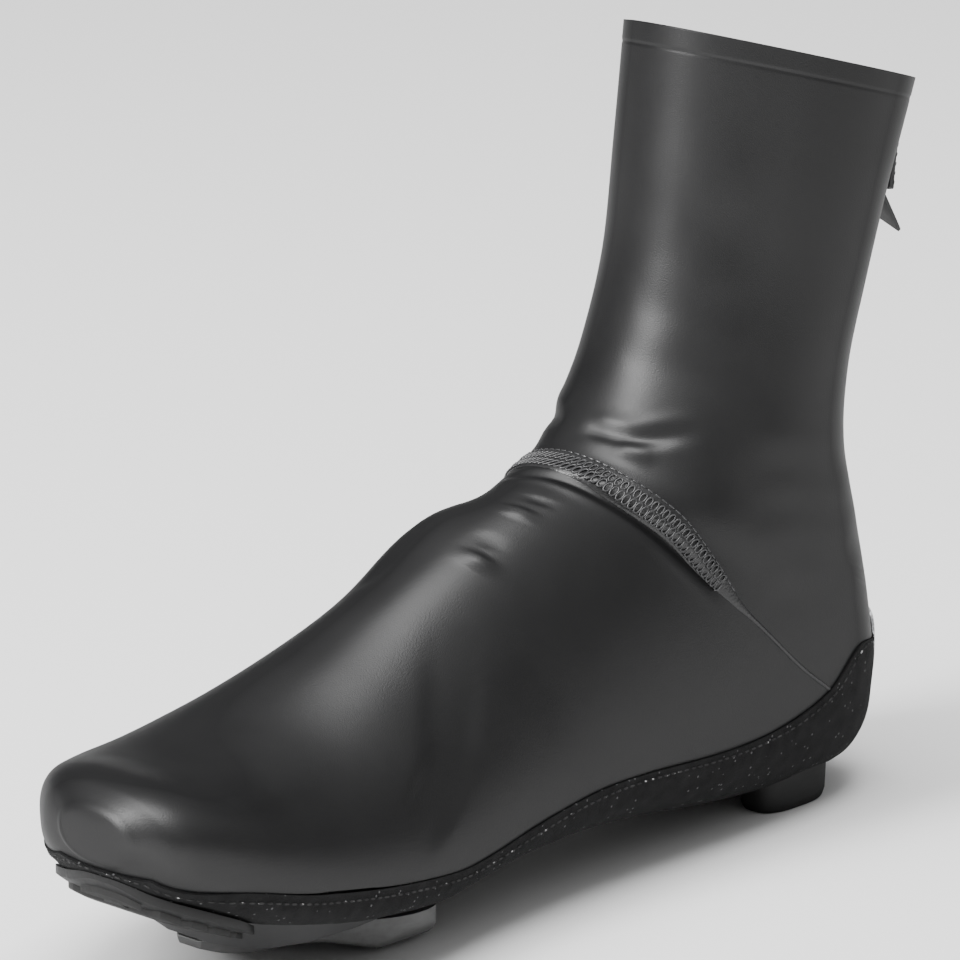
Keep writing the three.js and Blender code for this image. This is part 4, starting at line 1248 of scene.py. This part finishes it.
# Half of the cleat, rear end first: along, half width, lift of its foot
cleatTable = np.array([
    [0.0, 0.74, 0.3],
    [0.05, 0.93, 0.05],
    [0.11, 1.0, 0.0],
    [0.2, 1.0, 0.0],
    [0.3, 0.93, 0.14],
    [0.4, 0.78, 0.3],
    [0.5, 0.58, 0.42],
    [0.62, 0.48, 0.5],
    [0.74, 0.44, 0.54],
    [0.85, 0.4, 0.6],
    [0.93, 0.3, 0.68],
    [1.0, 0.12, 0.8],
])
cleatDetail = {
    "columns": 61,
    "rows": 150,
    "padRows": 50,
    "padFrom": 0.62,
    "padStep": 0.004,
    "pad": 2.2 * mm,
    "rim": 1.6 * mm,
    "rimFrom": 0.86,
    "soft": 0.6 * mm,
    "boltWell": 5.9 * mm,
    "wellDepth": 5 * mm,
    "wellFoot": -5 * mm,
    "boltSpots": [(0.24, 0.5), (0.24, -0.5), (0.52, 0.0)],
}


# Half width and underside of the cleat at a row of its table and a share across its half width there
def cleatFoot(u, v):
    half = blendTable(cleatTable, 1, u) * cleat["halfWidth"]
    lift = np.maximum(0, blendTable(cleatTable, 2, u)) * cleat["height"]
    reach = np.abs(v) * half / cleat["halfWidth"]
    slope = np.interp(reach, [0, 0.56, 0.7, 0.82, 0.92, 1.02], [0, 0, 0.06, 0.18, 0.34, 0.56]) * cleat["height"]
    soft = cleatDetail["soft"]
    level = soft * np.logaddexp(lift / soft, slope / soft)
    level = level - soft * math.log(2) * np.exp(-np.abs(lift - slope) / soft)
    late = np.clip((np.abs(v) - cleatDetail["rimFrom"]) / (1 - cleatDetail["rimFrom"]), 0, 1)
    rim = cleatDetail["rim"] * (1 - np.sqrt(np.clip(1 - late**2, 0, 1)))
    return half, np.minimum(level + rim, cleat["height"] - 0.8 * mm)


def cleatSolid(name, first, last, rows, lowAt, highAt):
    t = np.linspace(first, last, rows)[:, None]
    v = np.sin(np.linspace(-np.pi / 2, np.pi / 2, cleatDetail["columns"]))[None, :]
    half, foot = cleatFoot(t, v)
    share = blendTable(cleatTable, 0, t) + 0 * v
    x = cleatCentre[0] + v * half
    y = cleatCentre[1] + cleat["length"] / 2 - share * cleat["length"]
    return closedSlab(
        name, np.stack([x, y, lowAt(share, foot)], -1), np.stack([x, y, highAt(share, foot)], -1))


def makeCleat():
    lastSpot = len(cleatTable) - 1
    padRow = float(np.interp(cleatDetail["padFrom"], cleatTable[:, 0], np.arange(lastSpot + 1)))

    def bodyFoot(share, foot):
        late = 1 / (1 + np.exp(-(share - cleatDetail["padFrom"]) / cleatDetail["padStep"]))
        return np.minimum(foot + (cleatDetail["pad"] + cleat["gap"]) * late, cleat["height"] - 0.3 * mm)

    body = cleatSolid(
        "cleatBody", 0, lastSpot, cleatDetail["rows"], bodyFoot,
        lambda share, foot: np.full_like(foot, cleat["height"]))
    wells = []
    turn = np.linspace(0, 2 * np.pi, 40, endpoint=False)
    circle = cleatDetail["boltWell"] * np.stack([np.cos(turn), np.sin(turn)], 1)
    for along, across in cleatDetail["boltSpots"]:
        ring = cleatCentre + np.array([across * cleat["halfWidth"], cleat["length"] * (0.5 - along)]) + circle
        heights = (cleatDetail["wellFoot"], cleatDetail["wellDepth"])
        wells.append(ringStack("boltWell", [atHeight(ring, height) for height in heights]))
    cutWith(body, wells)
    finishSolid(body, 0.25 * mm, 50, 40, cleatPlastic, ["cleat_body"])
    pad = cleatSolid(
        "cleatNosePad", padRow + 0.05, lastSpot - 0.15, cleatDetail["padRows"], lambda share, foot: foot,
        lambda share, foot: np.minimum(foot + cleatDetail["pad"], cleat["height"] - 0.1 * mm))
    finishSolid(pad, 0.4 * mm, 50, 40, padPlastic, ["cleat_nose_pad"])


makeCleat()
for number in (1, 2, 3):
    copyNode(f"cleatBolt{number}", f"cleat_bolt_{number}", boltSteel, 0.12 * mm, 30)
copyNode("solePlate", "sole_plate", soleComposite, 0, 0)
copyNode("insole", "insole", insoleCloth, 0.4 * mm, 50)


# Toe tread: a thin flange under the band, blocks with open notches between them and a spine across these
def makeToePlate():
    start, end = toePlate["start"], toePlate["end"]
    rows, columns = np.linspace(11.5, lastRow, 120), np.linspace(np.pi * 0.55, np.pi * 1.45, 90)
    skin = np.array([coverPoint(t, columns, shoe["bandRise"] + cleat["gap"]) for t in rows])
    faces = [list(map(int, f)) for f in gridFaces(len(rows), len(columns))]
    tree = BVHTree.FromPolygons([tuple(p) for p in skin.reshape(-1, 3)], faces)

    def slabPiece(name, first, last, whole, share, topAt, bottomAt, rowCount, columnCount):
        top, bottom = [], []
        for i in range(rowCount):
            u = (1 - math.cos(math.pi * i / (rowCount - 1))) / 2
            along = first + (last - first) * u
            part = (along - start) / (whole - start)
            power = 3 if part > 0.5 else 1.7
            roundEnd = max(0.004, 1 - abs(2 * part - 1) ** power) ** (1 / power)
            _, centre, half = [float(v) for v in undersideAt(along)]
            y = heelSeat[1] - along * shoe["length"]
            for v in np.linspace(-1, 1, columnCount):
                x = heelSeat[0] + centre + v * half * share * roundEnd
                low = bottomAt(x, y, along)
                bottom.append((x, y, low))
                top.append((x, y, max(low + 0.4 * mm, topAt(x, y, along))))
        grid = (rowCount, columnCount, 3)
        return closedSlab(name, np.array(top).reshape(grid), np.array(bottom).reshape(grid))

    def skinHeight(x, y):
        hit = tree.ray_cast(Vector((x, y, -0.02)), Vector((0, 0, 1)))[0]
        return hit.z if hit else None

    # Underside of the flange, which rises at its sides with the band
    def plateFoot(x, y, along):
        drop = (0.5 + 0.7 * (end - along) / (end - start)) * mm
        foot = float(undersideAt(along)[0]) - shoe["bandRise"] - toePlate["flange"] - drop
        height = skinHeight(x, y)
        room = 0.0 if height is None else height - foot - toePlate["flangeRoom"]
        return foot + toePlate["follow"] * max(0.0, min(room, toePlate["followMost"]))

    def bandFoot(x, y, along):
        height = skinHeight(x, y)
        return min(1 if height is None else height, plateFoot(x, y, along) + toePlate["flangeRoom"])

    def under(rise):
        return lambda x, y, along: plateFoot(x, y, along) + rise

    flange = slabPiece("toePlate", start, end, end, 0.9, bandFoot, plateFoot, 60, 41)
    finishSolid(flange, 0.35 * mm, 45, 45, toeRubber, ["toe_plate"])
    edges = [start]
    for i in range(toePlate["grooves"]):
        groove = start + (end - start) * (i + 0.8) / (toePlate["grooves"] + 0.6)
        edges += [groove - toePlate["halfGroove"], groove + toePlate["halfGroove"]]
    edges.append(end - 0.008)
    for number, (first, last) in enumerate(zip(edges[0::2], edges[1::2])):
        block = slabPiece(
            f"toeBlock{number + 1}", first, last, end - 0.008, 0.76, under(0.5 * mm), under(-1.6 * mm), 7, 23)
        finishSolid(block, 0.35 * mm, 45, 45, treadRubber)
    spine = slabPiece("toeSpine", start, end - 0.012, end - 0.012, 0.22, under(0.5 * mm), under(-1.4 * mm), 30, 9)
    finishSolid(spine, 0.3 * mm, 45, 45, treadRubber)


makeToePlate()
print("underside made")


cameraView = {
    "azimuth": 43.0,
    "elevation": 15.4,
    "distance": 1.652,
    "lens": 241.9,
    "target": heelSeat + np.array([0.0, -0.107, 0.1065]),
    "shift": (-0.0375, -0.0132),
}
studio = {
    "horizon": (0.1, 0.1, 0.1),
    "overhead": (1.0, 1.0, 1.0),
    "skyFrom": 0.05,
    "skyTo": 0.85,
    "worldStrength": 0.95,
    "floorHalf": 7,
    "floorLow": (0.7, 0.7, 0.7),
    "floorHigh": (0.71, 0.71, 0.71),
    "middle": (0, 0, 0.1),
    "lights": [
        # name, azimuth, elevation, distance, size, power
        ("keySoftbox", -14, 36, 1.9, (0.5, 1.3), 66),
        ("fillSoftbox", 60, 34, 2.4, (1.2, 1.2), 1.5),
        ("topSoftbox", 20, 84, 2.4, (1.8, 1.8), 110),
    ],
}


# Puts a camera or a light at a distance from a point, turned to look at it
def placeAround(name, data, azimuth, elevation, distance, target):
    a, e = math.radians(azimuth), math.radians(elevation)
    away = Vector((math.sin(a) * math.cos(e), -math.cos(a) * math.cos(e), math.sin(e)))
    placed = linkObject(name, data)
    placed.location = Vector(target) + away * distance
    placed.rotation_euler = away.to_track_quat("Z", "Y").to_euler()
    return placed


def makeStudio():
    data = bpy.data.cameras.new("photoCamera")
    data.sensor_width = 36
    data.lens = cameraView["lens"]
    data.shift_x, data.shift_y = cameraView["shift"]
    place = [cameraView[key] for key in ("azimuth", "elevation", "distance", "target")]
    bpy.context.scene.camera = placeAround("photoCamera", data, *place)
    for name, azimuth, elevation, distance, size, power in studio["lights"]:
        data = bpy.data.lights.new(name, "AREA")
        data.shape = "RECTANGLE"
        data.size, data.size_y = size
        data.energy = power
        placeAround(name, data, azimuth, elevation, distance, studio["middle"])
    world = bpy.data.worlds.new("paleStudio")
    bpy.context.scene.world = world
    world.use_nodes = True
    sky = world.node_tree
    place = addNode(sky, "ShaderNodeTexCoord").outputs["Generated"]
    height = addNode(sky, "ShaderNodeSeparateXYZ", Vector=place).outputs["Z"]
    colour = colourBetween(sky, height, studio["horizon"], studio["overhead"], studio["skyFrom"], studio["skyTo"])
    feed(sky, sky.nodes["Background"].inputs["Color"], colour)
    feed(sky, sky.nodes["Background"].inputs["Strength"], studio["worldStrength"])


def makeFloor():
    work = bmesh.new()
    bmesh.ops.create_grid(work, x_segments=1, y_segments=1, size=studio["floorHalf"])
    mesh = bpy.data.meshes.new("paleFloor")
    work.to_mesh(mesh)
    work.free()
    material, tree, surface, place = startMaterial("Pale floor", 0.9)
    cloud = addNode(tree, "ShaderNodeTexNoise", Scale=2.0, Vector=place).outputs["Fac"]
    feed(tree, surface["Base Color"], colourBetween(tree, cloud, studio["floorLow"], studio["floorHigh"]))
    mesh.materials.append(material)
    linkObject("paleFloor", mesh)


makeStudio()
makeFloor()
print("scene ready")
